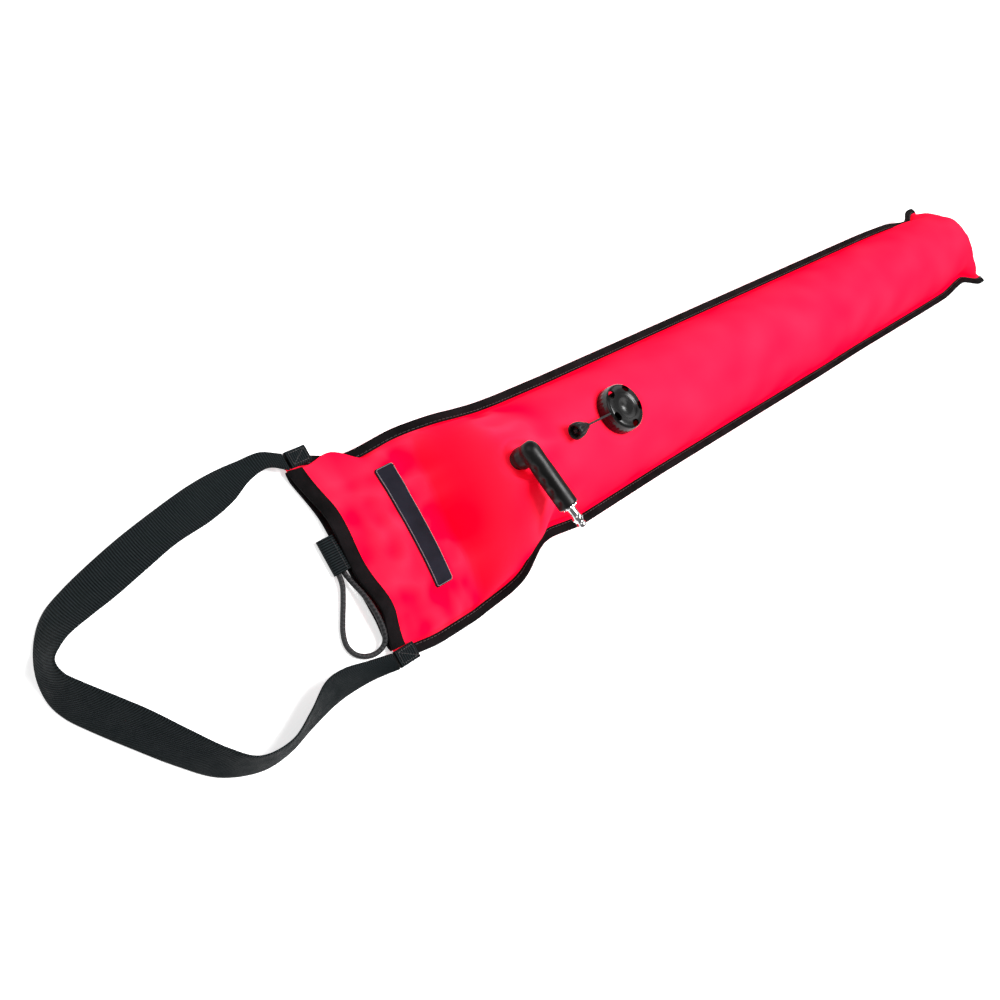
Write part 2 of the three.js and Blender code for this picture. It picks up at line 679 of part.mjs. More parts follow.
function rubberGrip() {
  const rounded = turned([
    [0, -gripRadius - 1.5], [gripRadius * 0.7, -gripRadius - 0.6], [gripRadius, -gripRadius + 2.4],
    [gripRadius, gripLength - 1], [gripRadius - 0.8, gripLength], [0, gripLength],
  ]);
  const boot = rod(neckRadius + gap + 1.3, spigotHeight * 0.6, barrelHeight, 20);
  const openEnd = alongBarrel(rod(barrelRadius + gap, barrelLength - 1, gripLength + 1, 20));
  const dimples = [];
  for (let k = 0; k < gripDimples; k += 1) {
    const along = -mix(11, gripLength - 6.5, k / (gripDimples - 1));
    [-1, 1].forEach((side) => dimples.push(new THREE.SphereGeometry(6, 12, 8)
      .translate(side * (gripRadius + 4.9), along, barrelHeight)));
  }
  return cut(join(alongBarrel(rounded), boot), elbowOuter(gap), openEnd, ...dimples);
}
addPiece('rubber_grip', rubberGrip(), blackRubber(), inflator);

const collarStart = barrelLength + pressTravel + 0.5;
const stemStart = collarStart - stemLength;
const stemRadius = barrelBore - gap;
const sealGroove = { start: stemStart + 3, width: 2, depth: 1 };
function quickNipple() {
  const tip = collarStart + collarLength + nippleLength;
  const ridge = nippleRadius + 0.5;
  const profile = [
    [nippleBore, stemStart], [stemRadius, stemStart], [stemRadius, sealGroove.start],
    [stemRadius - sealGroove.depth, sealGroove.start],
    [stemRadius - sealGroove.depth, sealGroove.start + sealGroove.width],
    [stemRadius, sealGroove.start + sealGroove.width], [stemRadius, collarStart],
    [collarRadius, collarStart], [collarRadius, collarStart + collarLength],
    [nippleRadius, collarStart + collarLength], [nippleRadius, tip - 9.5],
    [ridge, tip - 8.5], [ridge, tip - 6.5], [nippleRadius - 0.5, tip - 5],
    [nippleRadius - 0.5, tip - 3.5], [nippleRadius, tip - 2.8], [nippleRadius, tip - 0.6],
    [nippleRadius - 0.6, tip], [nippleBore, tip],
  ];
  const notches = [];
  for (let k = 0; k < collarNotches; k += 1) {
    const turn = 2 * Math.PI * k / collarNotches;
    notches.push(rod(1.1, collarStart + 1.2, collarStart + collarLength + 0.6, 8)
      .translate((collarRadius + 0.3) * Math.cos(turn), (collarRadius + 0.3) * Math.sin(turn), 0));
  }
  return alongBarrel(cut(turned(profile), ...notches));
}
addPiece('quick_release_nipple', quickNipple(), chrome(), inflator);

// The pin that opens the hose stands on three webs inside the nipple.
function hosePin() {
  const from = collarStart + collarLength + 2;
  const webs = [0, 1, 2].map((k) => new THREE.BoxGeometry(nippleBore - gap - 0.2, 0.6, 2)
    .translate((nippleBore - gap) / 2, 0, from + 1)
    .rotateZ(2 * Math.PI * k / 3));
  return alongBarrel(join(rod(0.7, from, from + nippleLength - 4, 10), ...webs));
}
addPiece('hose_pin', hosePin(), chrome(), inflator);

addPiece('stem_seal', alongBarrel(turned([
  [stemRadius - sealGroove.depth + 0.15, sealGroove.start + 0.2],
  [stemRadius + 0.15, sealGroove.start + 0.2],
  [stemRadius + 0.15, sealGroove.start + sealGroove.width - 0.2],
  [stemRadius - sealGroove.depth + 0.15, sealGroove.start + sealGroove.width - 0.2],
])), blackRubber(), inflator);

addPiece('nipple_spring', alongBarrel(coil(4, 0.7, barrelStop + gap, stemStart - gap, 5)),
  springSteel(), inflator);

export default part;
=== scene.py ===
"""Inflatable diver's marker tube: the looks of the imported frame.

Shapes are worked out in millimetres and scaled by MM when a mesh is made. Camera, floor and lights
are in metres. Sign 1 is the left side (+Y) and -1 the right; up 1 is the upper panel, -1 the lower.
"""
import json
import math

import bmesh
import bpy
import numpy as np
from mathutils import Matrix, Vector, noise


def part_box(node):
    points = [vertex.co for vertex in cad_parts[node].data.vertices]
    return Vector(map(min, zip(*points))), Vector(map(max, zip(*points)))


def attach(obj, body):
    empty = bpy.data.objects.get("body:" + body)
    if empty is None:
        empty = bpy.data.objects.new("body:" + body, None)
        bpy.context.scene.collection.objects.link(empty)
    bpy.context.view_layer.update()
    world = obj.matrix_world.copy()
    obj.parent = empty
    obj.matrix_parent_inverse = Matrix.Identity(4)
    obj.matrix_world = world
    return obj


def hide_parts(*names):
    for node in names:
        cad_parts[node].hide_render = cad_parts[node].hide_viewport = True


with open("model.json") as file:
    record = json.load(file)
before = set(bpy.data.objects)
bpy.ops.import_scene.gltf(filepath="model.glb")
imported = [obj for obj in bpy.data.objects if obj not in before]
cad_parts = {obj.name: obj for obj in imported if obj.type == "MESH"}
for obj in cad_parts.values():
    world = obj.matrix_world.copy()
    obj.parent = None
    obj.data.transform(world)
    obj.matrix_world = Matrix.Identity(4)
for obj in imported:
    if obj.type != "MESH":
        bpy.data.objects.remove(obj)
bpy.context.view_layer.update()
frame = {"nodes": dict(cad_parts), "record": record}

MM = 0.001


def put(name, data):
    """A new object of the scene around some data."""
    made = bpy.data.objects.new(name, data)
    bpy.context.scene.collection.objects.link(made)
    return made


# ------------------------------------------------------------------ camera
EYE = (-0.4464, -0.0219, 0.6776)
RIGHT = Vector((0.65285, -0.48404, 0.58265))
UP = Vector((0.35469, 0.87500, 0.32949))
LENS = 39.6

camera_data = bpy.data.cameras.new("camera")
camera_data.lens = LENS
camera_data.sensor_width = 36.0
camera_data.clip_start = 0.01
camera = put("camera", camera_data)
back = RIGHT.cross(UP).normalized()
camera.matrix_world = Matrix((
    (RIGHT.x, UP.x, back.x, EYE[0]),
    (RIGHT.y, UP.y, back.y, EYE[1]),
    (RIGHT.z, UP.z, back.z, EYE[2]),
    (0, 0, 0, 1),
))
bpy.context.scene.camera = camera


# ------------------------------------------------------------------ node helpers
class Shader:
    """A small builder for one material's node tree."""

    def __init__(self, name, color, roughness, metallic=0.0, **sockets):
        self.material = bpy.data.materials.new(name)
        self.material.use_nodes = True
        self.tree = self.material.node_tree
        self.bsdf = self.tree.nodes["Principled BSDF"]
        self.set("Base Color", (*color, 1.0))
        self.set("Roughness", roughness)
        self.set("Metallic", metallic)
        for key, value in sockets.items():
            self.set(key.replace("_", " "), value)
        self.material.diffuse_color = (*color, 1.0)
        self.normal = None

    def set(self, socket, value):
        self.bsdf.inputs[socket].default_value = value

    def node(self, kind, **inputs):
        made = self.tree.nodes.new(kind)
        for key, value in inputs.items():
            setattr(made, key, value)
        return made

    def link(self, output, target):
        self.tree.links.new(output, target)

    def value(self, source, target):
        if isinstance(source, (int, float)):
            target.default_value = source
        else:
            self.link(source, target)

    def maths(self, operation, a, b=0.0, c=None):
        made = self.node("ShaderNodeMath", operation=operation)
        self.value(a, made.inputs[0])
        self.value(b, made.inputs[1])
        if c is not None:
            self.value(c, made.inputs[2])
        return made.outputs[0]

    def attribute(self, name):
        return self.node("ShaderNodeAttribute", attribute_name=name).outputs["Fac"]

    def position(self):
        return self.node("ShaderNodeTexCoord").outputs["Object"]

    def noise(self, scale, detail):
        made = self.node("ShaderNodeTexNoise")
        made.inputs["Scale"].default_value = scale
        made.inputs["Detail"].default_value = detail
        made.inputs["Roughness"].default_value = 0.55
        self.link(self.position(), made.inputs["Vector"])
        return made.outputs["Fac"]

    def ramp(self, source, low, high, start=0.0, end=1.0):
        made = self.node("ShaderNodeMapRange")
        self.link(source, made.inputs["Value"])
        for key, value in (("From Min", start), ("From Max", end), ("To Min", low),
                           ("To Max", high)):
            made.inputs[key].default_value = value
        return made.outputs["Result"]

    def cloudy(self, scale, detail, low=0.0, high=1.0):
        """Noise stretched to run from low to high."""
        return self.ramp(self.noise(scale, detail), low, high, 0.3, 0.7)

    def vary_roughness(self, scale, detail, low, high):
        self.link(self.cloudy(scale, detail, low, high), self.bsdf.inputs["Roughness"])

    def tint(self, factor, dark, light):
        """Base colour between two shades."""
        made = self.node("ShaderNodeMix", data_type="RGBA")
        self.link(factor, made.inputs["Factor"])
        made.inputs["A"].default_value = (*dark, 1.0)
        made.inputs["B"].default_value = (*light, 1.0)
        self.link(made.outputs["Result"], self.bsdf.inputs["Base Color"])

    def bump(self, height, distance, strength=1.0):
        """Add a bump on top of those already there; distance is in metres."""
        made = self.node("ShaderNodeBump")
        made.inputs["Distance"].default_value = distance
        made.inputs["Strength"].default_value = strength
        self.link(height, made.inputs["Height"])
        if self.normal is not None:
            self.link(self.normal, made.inputs["Normal"])
        self.normal = made.outputs["Normal"]
        self.link(self.normal, self.bsdf.inputs["Normal"])

    def ridges(self, distance, pitch):
        """Rounded ridges: 0 in the gaps, 1 on the crowns."""
        return self.maths("ABSOLUTE", self.maths("SINE", self.maths(
            "MULTIPLY", distance, math.pi / pitch)))

    def weave(self, along, across, pitch_along, pitch_across):
        """A plain weave of rounded yarns: 0 in the gaps, 1 on the crowns."""
        return self.maths("MULTIPLY", self.ridges(along, pitch_along),
                          self.ridges(across, pitch_across))


def red_cloth():
    s = Shader("red_coated_cloth", (1.0, 0.016, 0.060), 0.5, Sheen_Weight=0.0,
               Specular_IOR_Level=0.0)
    # Painted glow: a red emission that keeps the red channel full in shaded places, although the
    # cloth is no lamp.
    s.set("Emission Color", (1.0, 0.0, 0.004, 1.0))
    s.set("Emission Strength", 0.40)
    # Painted highlight and shade: the painted_light attribute lightens fold crests, the skirt and
    # the dome and darkens creases, the valley and the tube's sides; a random mottle is added on top.
    painted_light_and_mottle = s.maths("ADD", s.attribute("painted_light"), s.cloudy(9.0, 4.0, -0.2, 0.2))
    s.tint(s.ramp(painted_light_and_mottle, 0.0, 1.0, -1.0, 1.0), (1.0, 0.001, 0.037), (1.0, 0.028, 0.081))
    s.vary_roughness(35.0, 3.0, 0.42, 0.58)
    along, across = s.attribute("along"), s.attribute("across")
    s.bump(s.noise(160.0, 2.0), 0.00025, 0.5)
    s.bump(s.weave(along, across, 0.7, 0.7), 0.00006, 0.6)
    return s.material


def tape_cloth():
    s = Shader("black_binding_tape", (0.012, 0.011, 0.012), 0.78, Sheen_Weight=0.0,
               Specular_IOR_Level=0.06)
    along, across = s.attribute("along"), s.attribute("across")
    s.tint(s.cloudy(60.0, 4.0), (0.002, 0.002, 0.002), (0.010, 0.008, 0.009))
    s.bump(s.noise(220.0, 2.0), 0.0003, 0.4)
    s.bump(s.weave(along, across, 1.1, 0.7), 0.00022, 0.8)
    return s.material


def webbing_cloth():
    s = Shader("black_ribbed_webbing", (0.010, 0.013, 0.014), 0.6, Sheen_Weight=0.0,
               Specular_IOR_Level=0.06)
    along, across = s.attribute("along"), s.attribute("across")
    rib = s.ridges(along, 1.9)
    yarn = s.maths("ABSOLUTE", s.maths("SINE", s.maths("ADD", s.maths(
        "MULTIPLY", across, math.pi / 1.25), s.maths("MULTIPLY", along, math.pi / 3.8))))
    # Painted highlight and shade: rib crowns lighter, the gaps between ribs darker.
    s.tint(s.ramp(rib, 0.0, 1.0, 0.05, 0.8), (0.0008, 0.0011, 0.0013), (0.014, 0.019, 0.021))
    s.vary_roughness(90.0, 2.0, 0.5, 0.72)
    s.bump(rib, 0.0007, 1.0)
    s.bump(yarn, 0.00025, 0.6)
    return s.material


def rubber(name, level=0.012, rough=0.5):
    s = Shader(name, (level, level, level * 1.05), rough, Specular_IOR_Level=0.22)
    s.tint(s.cloudy(40.0, 3.0), (level * 0.7,) * 3, (level * 1.5,) * 3)
    s.vary_roughness(120.0, 2.0, rough - 0.06, rough + 0.08)
    s.bump(s.noise(900.0, 2.0), 0.00006, 0.4)
    return s.material


def plastic(name, level, rough):
    s = Shader(name, (level, level, level), rough, Specular_IOR_Level=0.34)
    s.vary_roughness(70.0, 3.0, rough * 0.8, rough * 1.35)
    s.bump(s.noise(500.0, 2.0), 0.00004, 0.35)
    return s.material


def metal(name, level, rough):
    s = Shader(name, (level, level, level * 1.01), rough, 1.0)
    s.vary_roughness(180.0, 3.0, rough * 0.7, rough * 1.6)
    s.bump(s.noise(700.0, 2.0), 0.00003, 0.3)
    return s.material


def braid(name):
    s = Shader(name, (0.008, 0.008, 0.009), 0.62, Specular_IOR_Level=0.4)
    along, across = s.attribute("along"), s.attribute("across")
    turn = s.maths("ADD", s.maths("MULTIPLY", along, math.pi / 1.6),
                   s.maths("MULTIPLY", across, 2.0))
    other = s.maths("SUBTRACT", s.maths("MULTIPLY", along, math.pi / 1.6),
                    s.maths("MULTIPLY", across, 2.0))
    plait = s.maths("MAXIMUM", s.maths("SINE", turn), s.maths("SINE", other))
    # Painted highlight and shade: plait crowns lighter, the grooves between strands darker.
    s.tint(s.ramp(plait, 0.0, 1.0, -0.2, 1.0), (0.004, 0.004, 0.005), (0.020, 0.020, 0.022))
    s.bump(plait, 0.0002, 0.8)
    return s.material


def patch_cloth():
    s = Shader("dark_label_cloth", (0.008, 0.010, 0.018), 0.7, Sheen_Weight=0.0,
               Specular_IOR_Level=0.15)
    along, across = s.attribute("along"), s.attribute("across")
    s.tint(s.cloudy(45.0, 3.0), (0.004, 0.004, 0.009), (0.013, 0.013, 0.024))
    s.bump(s.weave(along, across, 0.8, 0.8), 0.00015, 0.8)
    return s.material


def thread(name, color):
    s = Shader(name, color, 0.55, Sheen_Weight=0.3)
    s.tint(s.cloudy(400.0, 2.0), tuple(c * 0.75 for c in color), color)
    s.bump(s.noise(2500.0, 2.0), 0.00005, 0.6)
    return s.material


RED = red_cloth()
TAPE = tape_cloth()
WEB = webbing_cloth()
GRIP = rubber("grip_rubber", 0.004, 0.34)
KNOB = rubber("knob_rubber", 0.010, 0.42)
CAP = plastic("glossy_valve_plastic", 0.006, 0.24)
MATT = plastic("matt_plastic", 0.014, 0.5)
CHROME = metal("bright_chrome", 0.62, 0.10)
STEEL = metal("spring_steel", 0.5, 0.25)
BUNGEE = braid("bungee_braid")
PATCH = patch_cloth()
GREY_THREAD = thread("grey_thread", (0.30, 0.31, 0.34))
BLACK_THREAD = thread("black_thread", (0.02, 0.02, 0.022))

SLOT_MATERIAL = {
    "coated_cloth": RED, "binding_tape": TAPE, "webbing": WEB, "cord": BUNGEE,
    "baffle_film": RED, "rubber": GRIP, "valve_plastic": CAP, "inflator_plastic": MATT,
    "chrome": CHROME, "steel": STEEL,
}


# ------------------------------------------------------------------ mesh helpers
def in_metres(points):
    return [tuple(float(c) * MM for c in p) for p in points]


def turn_outward(mesh):
    """Face every face of a closed mesh outward and shade it smooth."""
    edit = bmesh.new()
    edit.from_mesh(mesh)
    bmesh.ops.recalc_face_normals(edit, faces=edit.faces)
    for face in edit.faces:
        face.smooth = True
    edit.to_mesh(mesh)
    edit.free()


def make(name, verts, faces, material, body, slot, replaces=(), attributes=None):
    """A piece from millimetre points: smooth shaded, riding a body, with its material in the mesh's
    first slot; the slot argument is not used.
    """
    mesh = bpy.data.meshes.new(name)
    mesh.from_pydata(in_metres(verts), [], faces)
    mesh.validate()
    mesh.materials.append(material)
    for key, values in (attributes or {}).items():
        layer = mesh.attributes.new(key, "FLOAT", "POINT")
        layer.data.foreach_set("value", np.asarray(values, dtype=np.float32))
    mesh.update()
    turn_outward(mesh)
    piece = put(name, mesh)
    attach(piece, body)
    if replaces:
        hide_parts(*replaces)
    return piece


def sheet_faces(rows, columns):
    """Quads of a closed sheet whose front grid is followed by its back grid."""
    def front(r, c):
        return r * columns + c

    def rear(r, c):
        return rows * columns + front(r, c)

    faces = []
    for r in range(rows - 1):
        for c in range(columns - 1):
            faces.append((front(r, c), front(r, c + 1), front(r + 1, c + 1), front(r + 1, c)))
            faces.append((rear(r, c + 1), rear(r, c), rear(r + 1, c), rear(r + 1, c + 1)))
    for r in range(rows - 1):
        end = columns - 1
        faces.append((rear(r, 0), front(r, 0), front(r + 1, 0), rear(r + 1, 0)))
        faces.append((front(r, end), rear(r, end), rear(r + 1, end), front(r + 1, end)))
    for c in range(columns - 1):
        end = rows - 1
        faces.append((front(0, c), rear(0, c), rear(0, c + 1), front(0, c + 1)))
        faces.append((front(end, c + 1), rear(end, c + 1), rear(end, c), front(end, c)))
    return faces


def run_lengths(grid, axis):
    """Distance along one axis of a grid of points, from its first row or column."""
    steps = np.linalg.norm(np.diff(grid, axis=axis), axis=2)
    total = np.cumsum(steps, axis=axis)
    pad = [(0, 0), (0, 0)]
    pad[axis] = (1, 0)
    return np.pad(total, pad)


def sheet_piece(name, front, rear, material, body, slot, replaces=(), painted_light=0.0):
    """A closed sheet from two grids of points, rows by columns by three."""
    front, rear = np.asarray(front, dtype=float), np.asarray(rear, dtype=float)
    rows, columns = front.shape[:2]
    along = run_lengths(front, 0).reshape(-1)
    across = run_lengths(front, 1).reshape(-1)
    verts = np.concatenate([front.reshape(-1, 3), rear.reshape(-1, 3)])
    return make(name, verts, sheet_faces(rows, columns), material, body, slot, replaces,
                # The painted_light attribute carries painted highlight and shade into the red
                # cloth's colour.
                {"along": np.tile(along, 2), "across": np.tile(across, 2),
                 "painted_light": np.tile(np.broadcast_to(painted_light, (rows, columns)).reshape(-1), 2)})


def catmull(points, steps):
    """A smooth curve through points, with that many steps between neighbours."""
    p = np.asarray(points, dtype=float)
    p = np.vstack([2 * p[0] - p[1], p, 2 * p[-1] - p[-2]])
    out = []
    for k in range(1, len(p) - 2):
        a, b, c, d = p[k - 1], p[k], p[k + 1], p[k + 2]
        for s in range(steps):
            t = s / steps
            out.append(0.5 * ((2 * b) + (c - a) * t + (2 * a - 5 * b + 4 * c - d) * t * t
                              + (3 * b - a - 3 * c + d) * t ** 3))
    out.append(p[-2])
    return np.array(out)


def tube_mesh(points, radius, sides):
    """Verts, faces and attributes of a capped round tube along points."""
    p = np.asarray(points, dtype=float)
    tangent = np.gradient(p, axis=0)
    tangent /= np.linalg.norm(tangent, axis=1)[:, None]
    normal = np.cross(tangent[0], (0, 0, 1.0))
    if np.linalg.norm(normal) < 1e-3:
        normal = np.cross(tangent[0], (0, 1.0, 0))
    radii = np.broadcast_to(radius, (len(p),))
    lengths = np.concatenate([[0], np.cumsum(np.linalg.norm(np.diff(p, axis=0), axis=1))])
    verts, along, across = [], [], []
    for k in range(len(p)):
        normal = normal - tangent[k] * normal.dot(tangent[k])
        normal /= np.linalg.norm(normal)
        side = np.cross(tangent[k], normal)
        for s in range(sides):
            turn = 2 * math.pi * s / sides
            verts.append(p[k] + radii[k] * (math.cos(turn) * normal + math.sin(turn) * side))
            along.append(lengths[k])
            across.append(turn)
    faces = []
    for k in range(len(p) - 1):
        for s in range(sides):
            n = (s + 1) % sides
            faces.append((k * sides + s, k * sides + n, (k + 1) * sides + n, (k + 1) * sides + s))
    faces.append(tuple(range(sides))[::-1])
    faces.append(tuple((len(p) - 1) * sides + s for s in range(sides)))
    return verts, faces, {"along": along, "across": across}


def tube_piece(name, points, radius, sides, material, body, slot, replaces=()):
    verts, faces, attributes = tube_mesh(points, radius, sides)
    return make(name, verts, faces, material, body, slot, replaces, attributes=attributes)


def lathe(profile, segments, place):
    """Verts and faces of a turned solid about Z from [radius, height] pairs, put by `place`."""
    verts, faces, rings = [], [], []
    for r, z in profile:
        if r == 0:
            rings.append([len(verts)])
            verts.append(place(0.0, 0.0, z))
            continue
        rings.append(list(range(len(verts), len(verts) + segments)))
        for s in range(segments):
            turn = 2 * math.pi * s / segments
            verts.append(place(r * math.cos(turn), r * math.sin(turn), z))
    pairs = list(zip(rings, rings[1:]))
    if profile[0][0] != 0:
        pairs.append((rings[-1], rings[0]))
    for a, b in pairs:
        for s in range(segments):
            n = (s + 1) % segments
            corner = [a[s % len(a)], a[n % len(a)], b[n % len(b)], b[s % len(b)]]
            quad = list(dict.fromkeys(corner))
            if len(quad) > 2:
                faces.append(tuple(quad))
    return verts, faces


def stitch_row(name, points, pitch, thickness, material, body, slot):
    """A row of short threads lying along a line of points."""
    p = np.asarray(points, dtype=float)
    lengths = np.concatenate([[0], np.cumsum(np.linalg.norm(np.diff(p, axis=0), axis=1))])
    count = int(lengths[-1] / pitch)
    verts, faces, along, across = [], [], [], []
    for k in range(count):
        low, high = (k + 0.14) * pitch, (k + 0.86) * pitch
        spots = []
        for t in np.linspace(0, 1, 5):
            s = low + (high - low) * t
            q = np.array([np.interp(s, lengths, p[:, a]) for a in range(3)])
            rise = thickness * (1.15 * math.sin(math.pi * t) - 0.55)
            spots.append(q + np.array((0.0, 0.0, 1.0)) * rise)
        v, f, at = tube_mesh(spots, thickness / 2, 6)
        base = len(verts)
        verts.extend(v)
        faces.extend(tuple(i + base for i in face) for face in f)
        along.extend(at["along"])
        across.extend(at["across"])
    return make(name, verts, faces, material, body, slot,
                attributes={"along": along, "across": across})


# ------------------------------------------------------------------ bungee loop
BUNGEE_D = 4.0
STRAND_FRONT, STRAND_BACK, STRAND_Z = -11.2, -6.4, 3.8
BUNGEE_ROUTE = [
    (STRAND_FRONT, 18, STRAND_Z), (STRAND_FRONT, 6, STRAND_Z), (STRAND_FRONT, -6, STRAND_Z),
    (-13, -15, 3.5), (-18.5, -25, 2.8), (-25, -35, 2.4), (-30.5, -44, 2.3), (-33, -53, 2.3),
    (-30.5, -61, 2.3), (-23.5, -66.5, 2.5), (-14.5, -68.5, 3.4), (-7, -65.5, 6),
    (-4.2, -58, 9), (-3.8, -47, 11), (-3.8, -36, 10.5), (-4.3, -25, 8), (-5.5, -15, 5.2),
    (STRAND_BACK, -6, STRAND_Z), (STRAND_BACK, 6, STRAND_Z), (STRAND_BACK, 18, STRAND_Z),
]
bungee_line = catmull(BUNGEE_ROUTE, 6)
bungee = tube_piece("bungee_cord", bungee_line, BUNGEE_D / 2, 20, BUNGEE, "bag", "rubber",
                    ("bungee_loop",))

# ------------------------------------------------------------------ the bag's shape
GAP, CLOTH, TAPE_T = 0.3, 1.0, 0.9
FLAT_WIDTH, LENGTH, EDGE = 180.0, 1043.0, 10.0
INNER_HALF = FLAT_WIDTH / 2 - EDGE
TUBE_R = 2 * INNER_HALF / math.pi
FLOOR_SAG = 3.3                     # how far the lying tube flattens
AXIS_Z = TUBE_R - FLOOR_SAG
TUBE_TOP = AXIS_Z + TUBE_R
SEAL_END = LENGTH - EDGE
NOSE_LENGTH = 50.0
NOSE_START = SEAL_END - NOSE_LENGTH
FLANGE = EDGE - GAP - TAPE_T
SKIRT_SEAM = 6.0
SKIRT_FLOOR = GAP + TAPE_T
MOUTH_Z, NECK_Z, NECK_X, SHOULDER = 17.0, 28.0, 84.0, 27.0
CREST_START = 25.3                  # the skirt's crest starts to rise here
EAR_SPREAD, EAR_PINCH, END_DRAW = 8.0, 5.0, 5.0
END_TWIST, TWIST_LENGTH = math.radians(16.0), 230.0
SEAM_SPAN = {1: (25.0, 115.0), -1: (85.0, 150.0)}
# How far each side is drawn in at a distance from the mouth: 0 lies flat, 1 is the full tube.
DRAWN_IN = {
    1: ((0, 0.07), (18, 0.24), (35, 0.57), (46, 0.62), (73, 0.59), (92, 0.69), (116, 0.83),
        (141, 0.93), (165, 0.97), (230, 1)),
    -1: ((0, 0.25), (15, 0.2), (35, 0.09), (80, 0.09), (100, 0.17), (115, 0.28), (125, 0.5),
         (137, 0.96), (148, 1.04), (165, 0.96), (185, 0.87), (300, 0.93), (610, 0.96), (710, 1)),
}
RISE = GAP / 2 + CLOTH              # outer face of a panel from the seam plane
SOFTEN = (-6.0, -3.0, 0.0, 3.0, 6.0)     # the seam is an average over these steps along X
LEAD_FADE = 45.0                    # the mouth's corners blend into the skirt over this length
PATCH_X, PATCH_W, PATCH_L, PATCH_T = 57.0, 15.0, 100.0, 1.2

valve_low, valve_high = (np.array(v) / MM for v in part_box("valve_flange"))
VALVE_X, VALVE_Y = ((valve_low + valve_high) / 2)[:2]
flange_low, flange_high = (np.array(v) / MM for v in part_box("inflator_flange"))
INFLATOR_X, INFLATOR_Y = ((flange_low + flange_high) / 2)[:2]
SEAT_HEIGHT, SPIGOT_HEIGHT = 5.0, 7.0      # how far the two welded discs stand out of the cloth
VALVE_DECK = valve_high[2] - SEAT_HEIGHT
INFLATOR_DECK = flange_high[2] - SPIGOT_HEIGHT
# Each fitting lies on a flat place: its centre, height, radius, and the radius kept free of folds.
FLATS = (
    (VALVE_X, VALVE_Y, VALVE_DECK, 21.0, 24.0),
    (INFLATOR_X, INFLATOR_Y, INFLATOR_DECK, 11.5, 15.0),
)


def smooth(a, b, x):
    """0 up to a, 1 from b on, and an even slope between."""
    t = np.clip((np.asarray(x, dtype=float) - a) / (b - a), 0, 1)
    return t * t * (3 - 2 * t)


def mix(a, b, t):
    return a + (b - a) * t


def nose(x):
    """Share of the tube's height left in its rounded end."""
    return np.sqrt(np.maximum(0, 1 - (np.maximum(0, x - NOSE_START) / NOSE_LENGTH) ** 2))


def seam_half(sign, x):
    """How far the side seam is from the middle line."""
    ends, shares = zip(*DRAWN_IN[sign])
    drawn = sum(np.interp(np.abs(x + step), ends, shares) for step in SOFTEN) / len(SOFTEN)
    body = mix(INNER_HALF, TUBE_R, drawn)
    pinch = EAR_PINCH * smooth(NOSE_START - NOSE_LENGTH, NOSE_START + NOSE_LENGTH / 4, x)
    ear = (EAR_SPREAD + EAR_PINCH) * smooth(NOSE_START + NOSE_LENGTH / 4, SEAL_END, x)
    return body - pinch + ear


def seam_height(sign, x):
    return mix(SKIRT_SEAM, AXIS_Z, smooth(*SEAM_SPAN[sign], x))


def crest_height(x):
    skirt = mix(MOUTH_Z, NECK_Z, smooth(CREST_START, NECK_X, x))
    rise = np.clip((x - NECK_X) / SHOULDER, 0, 1)
    open_ = mix(skirt, TUBE_TOP, np.sin(rise * math.pi / 2))
    return AXIS_Z + RISE + (open_ - AXIS_Z - RISE) * nose(x)


def bottom_height(x):
    return AXIS_Z - RISE - (AXIS_Z - RISE + FLOOR_SAG) * nose(x)


def floor_under(x):
    return mix(SKIRT_FLOOR, 0.0, smooth(20, 60, x))


def roll_at(x):
    return -END_TWIST * smooth(SEAL_END - TWIST_LENGTH, SEAL_END, x)


def rolled(x, y, z):
    """Points turned about the tube's axis, by the twist of its far end."""
    roll, rise = roll_at(x), z - AXIS_Z
    return np.stack([x + 0 * y, y * np.cos(roll) - rise * np.sin(roll),
                     AXIS_Z + y * np.sin(roll) + rise * np.cos(roll)], axis=-1)


def lumps(x, y, z, scale, seed):
    """Smooth noise in -1..1 at each point of a grid; scale is its size in millimetres."""
    flat = np.stack([np.ravel(x), np.ravel(y), np.ravel(z)], axis=1) / scale
    values = [noise.noise(Vector((p[0] + seed, p[1] - seed, p[2] + 0.37 * seed))) for p in flat]
    return np.array(values).reshape(np.shape(x))


def mouth_lead(y):
    """How far the mouth's edge stands out past its middle, towards the two corners."""
    return -9.0 * smooth(30, 85, y) - 3.0 * smooth(45, 75, -y)


def lip_height(y):
    """Top of the upper lip: it stands open in two waves and lies nearly shut between them."""
    wide = 10.5 * np.exp(-((y + 43) / 19) ** 2)
    narrow = 4.5 * np.exp(-((y - 28) / 22) ** 2)
    return 6.2 + wide + narrow


# ------------------------------------------------------------------ bag cloth
ARC = 72
FACE = 0.75            # thickness of the visible cloth


def bag_stations():
    fine = np.arange(0, 132, 2.5)
    middle = np.arange(132, NOSE_START - 60, 5.0)
    end = np.arange(NOSE_START - 60, SEAL_END, 2.5)
    return np.concatenate([fine, middle, end, [SEAL_END, SEAL_END + 5, LENGTH]])


